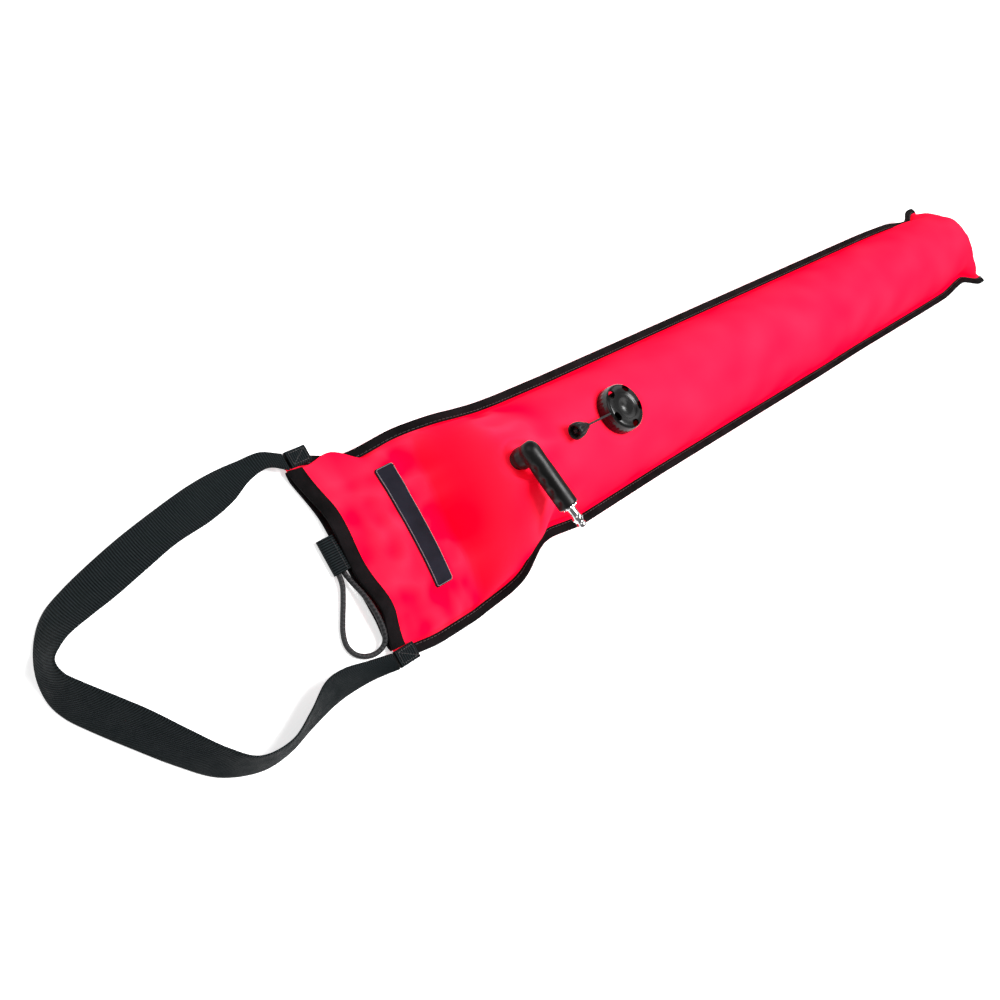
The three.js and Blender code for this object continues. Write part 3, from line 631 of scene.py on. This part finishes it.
def tube_folds(x, y, t, half, up):
    """How far the inflated cloth is pushed outward, and its painted light: a painted highlight on a
    crest (1), painted shade in a crease (-1) and down the tube's sides.
    """
    c, s = np.cos(t), np.sin(t)
    on_tube = smooth(NECK_X + 4, NECK_X + 30, x) * nose(x)
    near_seam = np.exp(-(half * np.minimum(t, math.pi - t) / 13.0) ** 2)
    pucker = lumps(x, 9 * c, 9 * s * up, 11.0, 3.0 + up) * near_seam
    broad = lumps(x * 0.55, 40 * c, 40 * s * up, 22.0, 11.0 + up)
    fine = lumps(x, 50 * c, 50 * s * up, 9.0, 23.0 + up)
    calm = np.ones_like(x)
    for cx, cy, _, _, reach in FLATS:
        calm *= smooth(reach, reach + 14, np.hypot(x - cx, y - cy))
    out = on_tube * calm * (1.3 * pucker + 0.55 * broad + 0.10 * fine) - 0.7 * on_tube * calm
    gathered = smooth(NECK_X + 4, NECK_X + 22, x) * (1 - smooth(125, 185, x))
    tuck = np.abs(lumps(x * 0.8, 45 * c, 45 * s * up, 24.0, 83.0))
    out -= gathered * calm * 6.0 * tuck
    # Painted light: lighter on broad crests, painted shade in the gathered creases and down the
    # tube's sides.
    painted_light = on_tube * (0.5 * broad + gathered * (0.7 - 3.2 * tuck) - 1.15 * (1 - s) ** 1.4)
    tip = smooth(NOSE_START - 25, NOSE_START + 25, x) * nose(x)
    ridge = np.cos(t * 9 + 0.6) * np.exp(-((s - 0.55) / 0.4) ** 2)
    out += tip * (0.9 * ridge + 0.8 * lumps(x, 60 * c, 60 * s, 12.0, 5.0))
    return out, painted_light


def skirt_waves(x, y):
    """Height of the loose skirt's waves and creases."""
    return (4.0 * lumps(x * 0.8, y, 0 * x, 24.0, 31.0)
            + 1.8 * lumps(x, y, 0 * x, 12.0, 47.0)
            - 5.0 * np.abs(lumps(x * 0.7, y, 0 * x, 27.0, 71.0))
            - 2.5 * np.abs(lumps(x, y * 0.8, 0 * x, 15.0, 93.0)))


def shape_skirt(x, y, z, t, half, depth, painted_light):
    """The upper skirt: waves, open lip, left edge rolled over its tape, valley before the tube, and
    their painted highlight and shade.
    """
    skirt = 1 - smooth(NECK_X - 6, NECK_X + 12, x)
    inside = np.clip(1 - (y / 88) ** 2, 0, 1)
    off_patch = smooth(6, 16, np.abs(x - PATCH_X)) + smooth(46, 58, np.abs(y))
    waves = skirt_waves(x, y)
    z = z + skirt * inside * np.clip(off_patch, 0.12, 1) * waves
    # Painted light: wave crests lighter, troughs darker, the whole skirt a little lighter.
    painted_light = painted_light + skirt * (0.40 * waves + 0.2)
    edge = np.clip(1 - (y / (half + 0.01)) ** 2, 0, 1) ** 0.5
    lip = SKIRT_SEAM + RISE - depth + (lip_height(y) - SKIRT_SEAM - RISE) * edge
    z = mix(lip, z, smooth(0, 40, x))
    roll_over = np.exp(-((x - 31) / 14) ** 2) * np.exp(-((t - 0.30) / 0.22) ** 2)
    y = y + 13.0 * roll_over
    z = z + 5.0 * roll_over
    valley = np.exp(-((x - (NECK_X + 7 + 4 * np.cos(t))) / 5.0) ** 2) * np.sin(t)
    z = z - 5.5 * valley * (0.8 + 0.3 * lumps(x, y, 0 * x, 20.0, 61.0))
    # Painted highlight on the dome past the valley and painted shade in the valley; this term moves
    # no cloth.
    painted_dome_highlight = np.exp(-((x - (NECK_X + 38)) / 17.0) ** 2) * np.sin(t)
    return y, z, painted_light - 0.55 * valley + 1.0 * painted_dome_highlight


def settle(point, depth):
    """Bring the cloth down to the flat place under each fitting."""
    for cx, cy, deck, reach, _ in FLATS:
        d = np.hypot(point[..., 0] - cx, point[..., 1] - cy)
        ceiling = mix(TUBE_TOP + 3, deck, 1 - smooth(reach, reach * 1.9, d)) - depth
        point[..., 2] = np.minimum(point[..., 2], ceiling)
        point[..., 2] = mix(point[..., 2], deck - depth, 1 - smooth(reach - 2, reach + 5, d))


def panel_grid(x_list, up, depth):
    """Points and painted light (painted highlight and shade per point) of one face of a panel; depth
    is how far in from the outer face.
    """
    theta = np.linspace(0, math.pi, ARC + 1)
    x, t = np.meshgrid(x_list, theta, indexing="ij")
    left = np.cos(t) >= 0
    half = np.where(left, seam_half(1, x), seam_half(-1, x))
    seam = np.where(left, seam_height(1, x), seam_height(-1, x))
    base = seam + up * RISE
    crest = crest_height(x) if up > 0 else bottom_height(x)
    s = np.sin(t)
    y = (half - depth) * np.cos(t)
    out, painted_light = tube_folds(x, y, t, half, up)
    z = base + (crest - base) * s - up * depth + up * out * s
    y = y + out * np.cos(t)
    if up > 0:
        y, z, painted_light = shape_skirt(x, y, z, t, half, depth, painted_light)
    point = rolled(x, y, z)
    point[..., 0] += mouth_lead(y) * (1 - smooth(0, LEAD_FADE, x))
    point[..., 0] -= END_DRAW * s * smooth(NOSE_START, LENGTH, x)
    floor_level = floor_under(x) + (depth if up < 0 else 0)
    point[..., 2] = np.maximum(point[..., 2], floor_level)
    if up > 0:
        settle(point, depth)
    return point, painted_light


def flange_points(x_list, sign, out, rise):
    """Points of the flat seam allowance, that far out from the seam and above its plane."""
    x = np.asarray(x_list, dtype=float)
    y = sign * (seam_half(sign, x) + out)
    point = rolled(x, y, seam_height(sign, x) + rise)
    point[..., 0] += mouth_lead(y) * (1 - smooth(0, LEAD_FADE, x))
    return point


def bag_panel(name, up, replaces):
    stations = bag_stations()
    faces = []
    for depth in (0.0, FACE):
        rise = up * (RISE - depth)
        grid, painted_light = panel_grid(stations, up, depth)
        left = flange_points(stations, 1, FLANGE, rise)[:, None]
        right = flange_points(stations, -1, FLANGE, rise)[:, None]
        faces.append(np.concatenate([left, grid, right], axis=1))
    return sheet_piece(name, *faces, RED, "bag", "coated_cloth", replaces,
                       painted_light=np.pad(painted_light, ((0, 0), (1, 1)), mode="edge"))


upper = bag_panel("bag_cloth_upper", 1, ("upper_skirt_panel", "upper_tube_panel"))
lower = bag_panel("bag_cloth_lower", -1, ("lower_skirt_panel", "lower_tube_panel"))


# ------------------------------------------------------------------ bindings
def binding_loop(over, inset, reach, bound):
    """Half section of a folded tape: along the top, round the edge and back along the bottom."""
    b, far = bound + over, reach + over
    bend = min(b, 1.1 + over)
    points = [(inset, b), (mix(inset, far, 0.5), b + 0.15), (far - bend, b)]
    for k in range(1, 6):
        turn = math.pi / 2 * (1 - k / 6)
        points.append((far - bend + bend * math.cos(turn), b - bend + bend * math.sin(turn)))
    points.append((far, b - bend))
    return points + [(p[0], -p[1]) for p in reversed(points)]


def side_binding(name, sign, node):
    stations = bag_stations()
    wave = np.array([noise.noise(Vector((x / 17.0, 3.1 * sign, 0.0))) for x in stations])
    faces = []
    for over in (TAPE_T * 0.85, 0.0):
        loop = binding_loop(over, 1.6, FLANGE + GAP - 0.1, RISE + 0.05)
        columns = []
        for out, rise in loop:
            ripple = wave * 0.35 * (out / 9.0)
            columns.append(flange_points(stations, sign, out, rise + ripple))
        faces.append(np.stack(columns, axis=1))
    sheet_piece(name, *faces, TAPE, "bag", "binding_tape", (node,))


side_binding("side_tape_left", 1, "left_side_binding")
side_binding("side_tape_right", -1, "right_side_binding")

for sign, side in ((1, "left"), (-1, "right")):
    stations = np.arange(3, LENGTH - 2, 4.0)
    line = flange_points(stations, sign, 3.2, RISE + TAPE_T * 0.85 + 0.2)
    stitch_row(f"edge_stitch_{side}", line, 3.6, 0.45, BLACK_THREAD,
               "bag", "binding_tape")


def lip_binding(name, up, node):
    theta = np.linspace(0.05, math.pi - 0.05, 90)
    outer, _ = panel_grid(np.array([0.0, EDGE]), up, 0.0)
    inner, _ = panel_grid(np.array([0.0, EDGE]), up, FACE)
    grid_theta = np.linspace(0, math.pi, ARC + 1)

    def sample(grid, row, axis):
        return np.interp(theta, grid_theta, grid[row, :, axis])

    faces = []
    for over in (TAPE_T * 0.85, 0.0):
        b = GAP * 0.6 + over
        front_x = -GAP - over
        columns = []
        for share, x, face, sign in (
            (1, EDGE, outer, 1), (0.5, EDGE * 0.5, outer, 1), (0, front_x + 0.8, outer, 1),
            (0, front_x + 0.15, outer, 0.55), (0, front_x, outer, 0.0),
            (0, front_x, inner, 0.0), (0, front_x + 0.15, inner, -0.55),
            (0, front_x + 0.8, inner, -1), (0.5, EDGE * 0.5, inner, -1), (1, EDGE, inner, -1),
        ):
            y = mix(sample(face, 0, 1), sample(face, 1, 1), share)
            z = mix(sample(face, 0, 2), sample(face, 1, 2), share)
            lead = mouth_lead(y) * (1 - smooth(0, LEAD_FADE, max(x, 0.0)))
            columns.append(np.stack([x + lead, y, z + up * sign * b], axis=-1))
        faces.append(np.stack(columns, axis=1))
    sheet_piece(name, *faces, TAPE, "bag", "binding_tape", (node,))


lip_binding("lip_tape_upper", 1, "upper_mouth_binding")
lip_binding("lip_tape_lower", -1, "lower_mouth_binding")


# ------------------------------------------------------------------ label patch
def patch():
    stations = np.linspace(PATCH_X - PATCH_W / 2, PATCH_X + PATCH_W / 2, 15)
    grid, _ = panel_grid(stations, 1, 0.0)
    ys = np.linspace(-PATCH_L / 2, PATCH_L / 2, 81)
    heights = []
    for row in grid:
        order = np.argsort(row[:, 1])
        heights.append(np.interp(ys, row[order, 1], row[order, 2]))
    z = np.array(heights)
    corner = 2.2
    y_grid = np.tile(ys, (len(stations), 1))
    x_grid = np.tile(stations[:, None], (1, len(ys)))
    inset_x = PATCH_W / 2 - np.abs(x_grid - PATCH_X)
    inset_y = PATCH_L / 2 - np.abs(y_grid)
    cut = np.maximum(0, corner - inset_x)
    limit = corner - np.sqrt(np.maximum(0, corner ** 2 - cut ** 2))
    y_grid = np.sign(y_grid) * np.minimum(np.abs(y_grid), PATCH_L / 2 - limit)
    rim = np.clip(np.minimum(inset_x, inset_y) / 1.4, 0, 1)
    lift = 0.35 + PATCH_T * (0.55 + 0.45 * np.sqrt(rim))
    border = np.exp(-((np.minimum(inset_x, inset_y) - 0.9) / 0.6) ** 2)
    top = np.stack([x_grid, y_grid, z + lift + 0.25 * border], axis=-1)
    low = np.stack([x_grid, y_grid, z + 0.3], axis=-1)
    sheet_piece("label_badge", top, low, PATCH, "bag", "binding_tape", ("label_patch",))

    def surface(px, py):
        k = np.interp(px, stations, np.arange(len(stations)))
        low_row = int(min(k, len(stations) - 2))
        a = np.interp(py, ys, z[low_row])
        b = np.interp(py, ys, z[low_row + 1])
        return mix(a, b, k - low_row) + 0.35 + PATCH_T + 0.15

    inset = 0.9
    hx, hy = PATCH_W / 2 - inset, PATCH_L / 2 - inset
    outline = []
    for cx, cy, start in ((hx - 1.5, hy - 1.5, 0), (-hx + 1.5, hy - 1.5, 90),
                          (-hx + 1.5, -hy + 1.5, 180), (hx - 1.5, -hy + 1.5, 270)):
        for turn in np.radians(np.linspace(start, start + 90, 5)):
            outline.append((PATCH_X + cx + 1.5 * math.cos(turn), cy + 1.5 * math.sin(turn)))
    outline.append(outline[0])
    dense = []
    for a, b in zip(outline, outline[1:]):
        for s in np.linspace(0, 1, max(2, int(math.dist(a, b) / 2)), endpoint=False):
            dense.append((mix(a[0], b[0], s), mix(a[1], b[1], s)))
    dense.append(outline[-1])
    line = [(px, py, surface(px, py)) for px, py in dense]
    stitch_row("badge_stitch", line, 1.3, 0.55, GREY_THREAD, "bag",
               "binding_tape")


patch()

# ------------------------------------------------------------------ carrying strap
PIVOT_X = -9.0
TAB_X = (-7.0, 11.5)
WEB_T = 1.6
TAB_INNER = {sign: max(seam_half(sign, 0.0), seam_half(sign, TAB_X[1])) - 0.2 for sign in (1, -1)}
TAB_W = 13.0
TAB_Z = SKIRT_SEAM + RISE + GAP + TAPE_T + GAP + WEB_T
STRAP_ROUTE = [
    [[-24, 97, 9], [-24, 84, 11]], [[-40, 98, 4], [-42, 81, 11]],
    [[-60, 98, 1], [-62, 72, 12]], [[-84, 95, 1], [-84, 66, 12]],
    [[-114, 88.5, 1], [-114, 61.5, 13]], [[-142, 81.5, 1], [-140, 54.5, 13]],
    [[-168, 73.5, 1], [-165, 47.5, 14]], [[-190, 65.5, 1], [-187, 42.5, 17]],
    [[-207, 57, 1], [-205, 38, 22]], [[-219, 44, 1], [-216, 33, 26]],
    [[-227, 27, 1], [-223, 27, 28]], [[-229, 10, 1], [-222, 18, 28]],
    [[-225, -4, 1], [-214, 8, 26]], [[-215, -19, 1], [-203, -5, 25]],
    [[-198, -41, 1], [-187, -25, 25]], [[-180, -63, 1], [-171, -48, 25]],
    [[-160, -83, 1], [-156, -69, 26]], [[-134, -94.5, 1], [-140, -84, 27]],
    [[-110, -95, 1], [-116, -86, 27]], [[-86, -89, 1], [-94, -77, 25]],
    [[-62, -84, 2], [-72, -66, 21]], [[-42, -83, 3], [-52, -65, 17]],
    [[-24, -84, 6], [-28, -70, 12]],
]


def strap():
    ends = [[[PIVOT_X, s * (TAB_INNER[s] + TAB_W), TAB_Z], [PIVOT_X, s * TAB_INNER[s], TAB_Z]]
            for s in (1, -1)]
    route = np.array([ends[0], *STRAP_ROUTE, ends[1]], dtype=float)
    outer = catmull(route[:, 0], 8)
    inner = catmull(route[:, 1], 8)
    count = len(outer)
    outer[:, 2] = np.maximum(outer[:, 2], 0.9)
    middle = (outer + inner) / 2
    along = np.gradient(middle, axis=0)
    along[0], along[-1] = (-1, 0, 0), (1, 0, 0)
    width = inner - outer
    normal = np.cross(width, along)
    normal /= np.linalg.norm(normal, axis=1)[:, None]
    share = np.arange(count) / (count - 1)
    folded = np.maximum(1 - smooth(0.03, 0.075, share), smooth(0.94, 0.975, share))
    half = mix(WEB_T / 2, WEB_T, folded)
    across = np.linspace(0, 1, 15)
    profile = 0.55 + 0.45 * np.sqrt(np.clip(1 - (2 * across - 1) ** 8, 0, 1))
    faces = []
    for sign in (1, -1):
        columns = [outer + width * a + normal * (sign * half * swell)[:, None]
                   for a, swell in zip(across, profile)]
        faces.append(np.stack(columns, axis=1))
    sheet_piece("webbing_strap", *faces, WEB, "strap", "webbing", ("carry_strap",))


strap()


def strap_tab(sign, side):
    xs = np.linspace(*TAB_X, 20)
    ys = np.linspace(0, 1, 13)
    rim = np.clip(np.minimum(ys, 1 - ys) * TAB_W / 1.2, 0, 1)
    faces = []
    for face in (1, -1):
        grid = np.empty((len(xs), len(ys), 3))
        for c, share in enumerate(ys):
            swell = WEB_T * (0.62 + 0.38 * math.sqrt(rim[c]))
            grid[:, c, 0] = xs
            grid[:, c, 1] = sign * (TAB_INNER[sign] + TAB_W * share)
            grid[:, c, 2] = TAB_Z + face * swell
        faces.append(grid)
    sheet_piece(f"strap_end_{side}", *faces, WEB, "bag", "webbing",
                (f"{side}_strap_tab",))
    cross = []
    for x, y in ((-4.5, 2), (9.5, 2), (9.5, TAB_W - 2), (-4.5, TAB_W - 2), (-4.5, 2),
                 (9.5, TAB_W - 2)):
        cross.append((x, sign * (TAB_INNER[sign] + y), TAB_Z + WEB_T + 0.15))
    stitch_row(f"strap_end_stitch_{side}", cross, 2.4, 0.5, BLACK_THREAD,
               "bag", "webbing")


strap_tab(1, "left")
strap_tab(-1, "right")


# ------------------------------------------------------------------ bungee tab
def bungee_tab():
    clear = BUNGEE_D / 2 + GAP
    wall = 1.2
    ys = np.linspace(-6, 22, 20)

    def shell(over):
        left = STRAND_FRONT - clear - over
        top, low = STRAND_Z + clear + over, STRAND_Z - clear - over
        middle, radius = (top + low) / 2, (top - low) / 2
        points = [(-1.5, top), (-4.5, top), (left + radius, top)]
        for k in range(1, 8):
            turn = math.pi / 2 + math.pi * k / 8
            points.append((left + radius + radius * math.cos(turn),
                           middle + radius * math.sin(turn)))
        return points + [(left + radius, low), (-4.5, low), (-1.5, low)]

    faces = []
    for over in (wall, 0.0):
        loop = shell(over)
        grid = np.array([[(x, y, z) for x, z in loop] for y in ys])
        faces.append(grid)
    sheet_piece("bungee_holder", *faces, WEB, "bag", "webbing", ("bungee_tab",))
    line = [(-4.2, y, STRAND_Z + clear + wall + 0.1) for y in (-5, 8, 21)]
    stitch_row("bungee_holder_stitch", line, 2.4, 0.5, BLACK_THREAD,
               "bag", "webbing")


bungee_tab()


# ------------------------------------------------------------------ relief valve
def at_valve(x, y, z):
    return (VALVE_X + x, VALVE_Y + y, VALVE_DECK + z)


def carve(piece, tools, operation="DIFFERENCE"):
    """Cut tools out of a piece, or join them to it, and keep the result as its own mesh."""
    for tool in tools:
        modifier = piece.modifiers.new("cut", "BOOLEAN")
        modifier.operation = operation
        modifier.solver = "EXACT"
        modifier.object = tool
    graph = bpy.context.evaluated_depsgraph_get()
    carved = bpy.data.meshes.new_from_object(piece.evaluated_get(graph))
    piece.modifiers.clear()
    piece.data = carved
    for tool in tools:
        bpy.data.objects.remove(tool)


def plain(name, verts, faces):
    """A bare helper object, used only to cut another."""
    mesh = bpy.data.meshes.new(name)
    mesh.from_pydata(in_metres(verts), [], faces)
    turn_outward(mesh)
    return put(name, mesh)


def sharpen(piece, angle=35.0):
    """Smooth shading with crisp edges where faces meet at more than the angle."""
    mesh = piece.data
    edit = bmesh.new()
    edit.from_mesh(mesh)
    for face in edit.faces:
        face.smooth = True
    for edge in edit.edges:
        if len(edge.link_faces) == 2:
            edge.smooth = edge.calc_face_angle(0.0) < math.radians(angle)
    edit.to_mesh(mesh)
    edit.free()


CAP_R, CAP_H, CAP_WALL = 20.0, 14.0, 1.5
SLOTS, SLOT_TURN, FLUTES = 5, -18.0, 30
SLOT_RING, SLOT_REACH, SLOT_SIDE = 15.8, 2.9, 3.8


def squared(wave):
    """Fuller than a sine or cosine, which makes an oval squarer."""
    return math.copysign(abs(wave) ** 0.8, wave)


def valve_cap():
    inside = CAP_R - CAP_WALL
    roof = CAP_H - CAP_WALL
    hub_in, hub_out = 13.5, 14.6
    profile = [
        (0, 13.35), (4, 13.35), (4.4, 13.1), (10.6, 13.1), (11.2, 13.45), (11.9, 13.85),
        (16.6, 13.75), (17.8, 13.4), (18.7, 12.8), (19.3, 11.9), (19.6, 10.8), (19.7, 9.0),
        (20.0, 8.4), (20.0, 0.9), (19.7, 0.3), (inside, 0.3), (inside, roof - 2.5),
        (inside - 1.4, roof - 0.4), (hub_out, roof - 0.4), (hub_out, 1.4), (hub_in, 1.4),
        (hub_in, roof), (0, roof),
    ]
    verts, faces = lathe(profile, 96, at_valve)
    cap = make("dump_valve_cap", verts, faces, CAP, "bag", "valve_plastic", ("valve_cap",))
    tools = []
    for k in range(SLOTS):
        turn = math.radians(SLOT_TURN + 360 / SLOTS * k)
        rim = []
        for s in range(20):
            a = 2 * math.pi * s / 20
            radial = SLOT_RING + SLOT_REACH * squared(math.cos(a))
            side = SLOT_SIDE * squared(math.sin(a))
            rim.append((radial * math.cos(turn) - side * math.sin(turn),
                        radial * math.sin(turn) + side * math.cos(turn)))
        v = [at_valve(x, y, z) for z in (9.5, 15.5) for x, y in rim]
        n = len(rim)
        f = [tuple(range(n))[::-1], tuple(range(n, 2 * n))]
        f += [(i, (i + 1) % n, n + (i + 1) % n, n + i) for i in range(n)]
        tools.append(plain(f"slot_{k}", v, f))
    for k in range(FLUTES):
        turn = 2 * math.pi * (k + 0.5) / FLUTES
        v, f = lathe([(0, -1), (0.55, -1), (0.55, 8.0), (0, 8.6)], 8,
                     lambda x, y, z, c=math.cos(turn), s=math.sin(turn): at_valve(
                         x + 20.25 * c, y + 20.25 * s, z))
        tools.append(plain(f"flute_{k}", v, f))
    carve(cap, tools)
    sharpen(cap)


valve_cap()

CORD_Z = 11.3
CORD_R = 0.9
KNOB_L = 16.0
KNOB_RIBS = 8
knob_low, knob_high = (np.array(v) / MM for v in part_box("pull_knob"))
KNOB_Z = (knob_low[2] + knob_high[2]) / 2 - VALVE_DECK
knob_from = knob_low[0] - VALVE_X

cord_line = catmull([
    (-7.4, 0, CORD_Z), (-14, 0, CORD_Z), (-20, 0, CORD_Z), (-24, 0, CORD_Z - 0.1),
    (-33, 0, CORD_Z + 0.1), (-43, 0, KNOB_Z - 0.3), (knob_from + KNOB_L, 0, KNOB_Z),
    (knob_from + KNOB_L - 5, 0, KNOB_Z), (knob_from + 4.4, 0, KNOB_Z),
], 6)
pull_line = [at_valve(*p) for p in cord_line]
tube_piece("dump_cord", pull_line, CORD_R, 12, BUNGEE, "pull", "cord", ("pull_cord",))


def knob():
    """A bell with moulded ribs: small end to the valve, hollow end away from it."""
    def place(x, y, z):
        return at_valve(knob_from + z, y, KNOB_Z + x)

    bore = 1.2
    stations = [
        (bore, 16.0), (2.5, 16.0), (3.0, 15.6), (3.3, 14.2), (3.7, 13.0), (4.6, 11.4),
        (5.6, 9.2), (6.3, 7.0), (6.75, 4.8), (6.95, 3.0), (6.9, 1.2), (6.3, 0.3), (5.6, 0.0),
        (4.9, 0.5), (4.6, 2.0), (4.4, 4.4), (bore, 4.4),
    ]
    segments = 60
    verts, faces = lathe(stations, segments, lambda x, y, z: (x, y, z))
    ribbed = []
    for x, y, z in verts:
        r, turn = math.hypot(x, y), math.atan2(y, x)
        groove = 0.0
        if r > 3.2 and 1.0 < z < 14.0:
            groove = 0.75 * max(0.0, math.cos(KNOB_RIBS * turn)) ** 3
        r -= groove
        ribbed.append(place(r * math.cos(turn), r * math.sin(turn), z))
    piece = make("dump_knob", ribbed, faces, KNOB, "pull", "rubber", ("pull_knob",))
    sharpen(piece, 50)


knob()


def knot():
    """A trefoil-like knot in the knob's hollow end."""
    centre = np.array(at_valve(knob_from + 2.1, 0, KNOB_Z))
    loop = []
    for t in np.linspace(0, 2 * math.pi, 60):
        reach = 1.0 + 0.3 * math.cos(3 * t)
        loop.append(centre + np.array([0.55 * math.sin(3 * t), math.cos(t) * reach,
                                       math.sin(t) * reach]))
    tube_piece("dump_knot", loop[:-2], 0.75, 10, BUNGEE, "pull", "cord", ("cord_knot",))


knot()

# ------------------------------------------------------------------ inflator
HEADING = math.radians(9.0)
BARREL_Z = 17.0
GRIP_R, GRIP_L, GRIP_DIMPLES = 8.0, 48.0, 4
COS_H, SIN_H = math.cos(HEADING), math.sin(HEADING)


def at_inflator(x, y, z):
    """From the inflator's own frame, whose barrel runs along -Y."""
    return (INFLATOR_X + x * COS_H - y * SIN_H, INFLATOR_Y + x * SIN_H + y * COS_H,
            INFLATOR_DECK + z)


def along_barrel(x, y, z):
    return at_inflator(x, -z, BARREL_Z + y)


def grip():
    """The rubber sleeve: a rounded elbow with finger dimples down both sides."""
    rings, segments = [], 72
    stations = list(np.linspace(-8.6, -6.0, 8)) + list(np.linspace(-5.0, GRIP_L - 1.2, 90))
    stations += [GRIP_L - 0.6, GRIP_L - 0.2, GRIP_L]
    verts = []
    for s in stations:
        if s < -0.5:
            share = min(1.0, (s + 9.6) / 9.1)
            r = GRIP_R * math.sqrt(max(0.0, 1 - (1 - share) ** 2))
        elif s > GRIP_L - 1.2:
            r = GRIP_R - 0.8 * ((s - GRIP_L + 1.2) / 1.2) ** 2
        else:
            r = GRIP_R
        ring = []
        for k in range(segments):
            turn = 2 * math.pi * k / segments
            x, y = r * math.cos(turn), r * math.sin(turn)
            dent = 0.0
            for j in range(GRIP_DIMPLES):
                centre = mix(11.0, GRIP_L - 6.5, j / (GRIP_DIMPLES - 1))
                near = ((s - centre) / 4.4) ** 2 + (y / 4.2) ** 2
                dent += 1.4 * math.exp(-near * 2.0)
            squeeze = 0.35 * math.exp(-((s - 9.0) / 5.0) ** 2)
            shrink = (dent * abs(x) / (r + 1e-6)) + squeeze
            x -= math.copysign(min(abs(x), shrink), x)
            ring.append(len(verts))
            verts.append(along_barrel(x, y, s))
        rings.append(ring)
    faces = [tuple(rings[0])]
    for a, b in zip(rings, rings[1:]):
        for k in range(segments):
            n = (k + 1) % segments
            faces.append((a[k], a[n], b[n], b[k]))
    faces.append(tuple(rings[-1])[::-1])
    sleeve = make("inflator_sleeve", verts, faces, GRIP, "bag", "rubber", ("rubber_grip",))
    v, f = lathe([(0, 4.4), (8.1, 4.4), (8.75, 5.0), (8.75, 8.0), (8.3, 12.0), (7.7, 17.0),
                  (0, 17.0)], 72, at_inflator)
    boot = plain("boot", v, f)
    carve(sleeve, [boot], "UNION")
    v, f = lathe([(0, 42.0), (6.5, 42.0), (6.5, 49.0), (0, 49.0)], 48, along_barrel)
    recess = plain("recess", v, f)
    v, f = lathe([(0, 0.0), (7.6, 0.0), (7.6, 16.0), (0, 16.0)], 48, at_inflator)
    inner = plain("inner", v, f)
    carve(sleeve, [recess, inner])
    sharpen(sleeve, 55)


grip()

COLLAR, COLLAR_L, NOTCHES = 46.5, 3.0, 6
NIPPLE_R, NIPPLE_L, STEM_L = 3.6, 17.0, 20.0


def nipple():
    tip = COLLAR + COLLAR_L + NIPPLE_L
    r = NIPPLE_R
    profile = [
        (2.1, COLLAR - STEM_L), (4.7, COLLAR - STEM_L), (4.7, COLLAR - 0.3), (5.6, COLLAR - 0.3),
        (5.9, COLLAR), (5.9, COLLAR + 2.7), (5.6, COLLAR + COLLAR_L), (4.2, COLLAR + COLLAR_L),
        (3.75, COLLAR + 3.5), (r, tip - 9.8), (r + 0.15, tip - 9.4), (r + 0.5, tip - 8.6),
        (r + 0.5, tip - 6.9), (r + 0.15, tip - 6.1), (r - 0.45, tip - 5.2), (r - 0.5, tip - 3.6),
        (r - 0.1, tip - 3.0), (r, tip - 2.7), (r, tip - 1.0), (r - 0.35, tip - 0.25),
        (r - 0.8, tip), (2.5, tip), (2.1, tip - 0.5),
    ]
    verts, faces = lathe(profile, 72, along_barrel)
    piece = make("hose_nipple", verts, faces, CHROME, "nipple", "chrome",
                 ("quick_release_nipple",))
    tools = []
    for k in range(NOTCHES):
        turn = 2 * math.pi * k / NOTCHES
        v, f = lathe([(0, COLLAR + 1.1), (1.25, COLLAR + 1.1), (1.25, COLLAR + 4), (0, COLLAR + 4)],
                     20, lambda x, y, z, c=math.cos(turn), s=math.sin(turn): along_barrel(
                         x + 6.1 * c, y + 6.1 * s, z))
        tools.append(plain(f"notch_{k}", v, f))
    carve(piece, tools)
    sharpen(piece, 40)


nipple()

# ------------------------------------------------------------------ CAD nodes that stay
slots = {entry["node"]: entry["material_slot"] for entry in frame["record"]["subparts"]}
for node_name, node in frame["nodes"].items():
    if node.hide_render:
        continue
    node.data.materials.clear()
    node.data.materials.append(SLOT_MATERIAL[slots[node_name]])

# ------------------------------------------------------------------ floor and light
FLOOR_HALF = 6.0
floor_mesh = bpy.data.meshes.new("floor")
floor_mesh.from_pydata([(x * FLOOR_HALF, y * FLOOR_HALF, 0) for x, y in
                        ((-1, -1), (1, -1), (1, 1), (-1, 1))], [], [(0, 1, 2, 3)])
floor = put("floor", floor_mesh)
floor_shader = Shader("pale_floor", (0.93, 0.93, 0.93), 0.7, Specular_IOR_Level=0.2)
floor_shader.set("Emission Color", (1.0, 1.0, 1.0, 1.0))
floor_shader.set("Emission Strength", 0.55)
floor_shader.bump(floor_shader.noise(300.0, 2.0), 0.00005, 0.2)
floor_mesh.materials.append(floor_shader.material)

world = bpy.data.worlds.new("studio")
world.use_nodes = True
world.node_tree.nodes["Background"].inputs["Color"].default_value = (1.0, 1.0, 1.0, 1.0)
world.node_tree.nodes["Background"].inputs["Strength"].default_value = 0.20
bpy.context.scene.world = world


def area_light(name, where, aim, size, power):
    data = bpy.data.lights.new(name, "AREA")
    data.shape = "RECTANGLE"
    data.size, data.size_y = size
    data.energy = power
    light = put(name, data)
    light.location = where
    direction = Vector(aim) - Vector(where)
    light.rotation_euler = direction.to_track_quat("-Z", "Y").to_euler()


area_light("key", (0.55, -0.25, 1.6), (0.3, 0.0, 0.0), (0.8, 0.7), 38.0)
area_light("fill", (-0.9, 0.9, 1.2), (0.2, 0.0, 0.0), (1.2, 1.2), 8.0)
area_light("rim", (1.6, 0.6, 1.1), (0.6, 0.0, 0.05), (0.9, 0.9), 4.0)

view = bpy.context.scene.view_settings
view.view_transform = "Standard"
view.look = "None"
view.exposure = 0.0
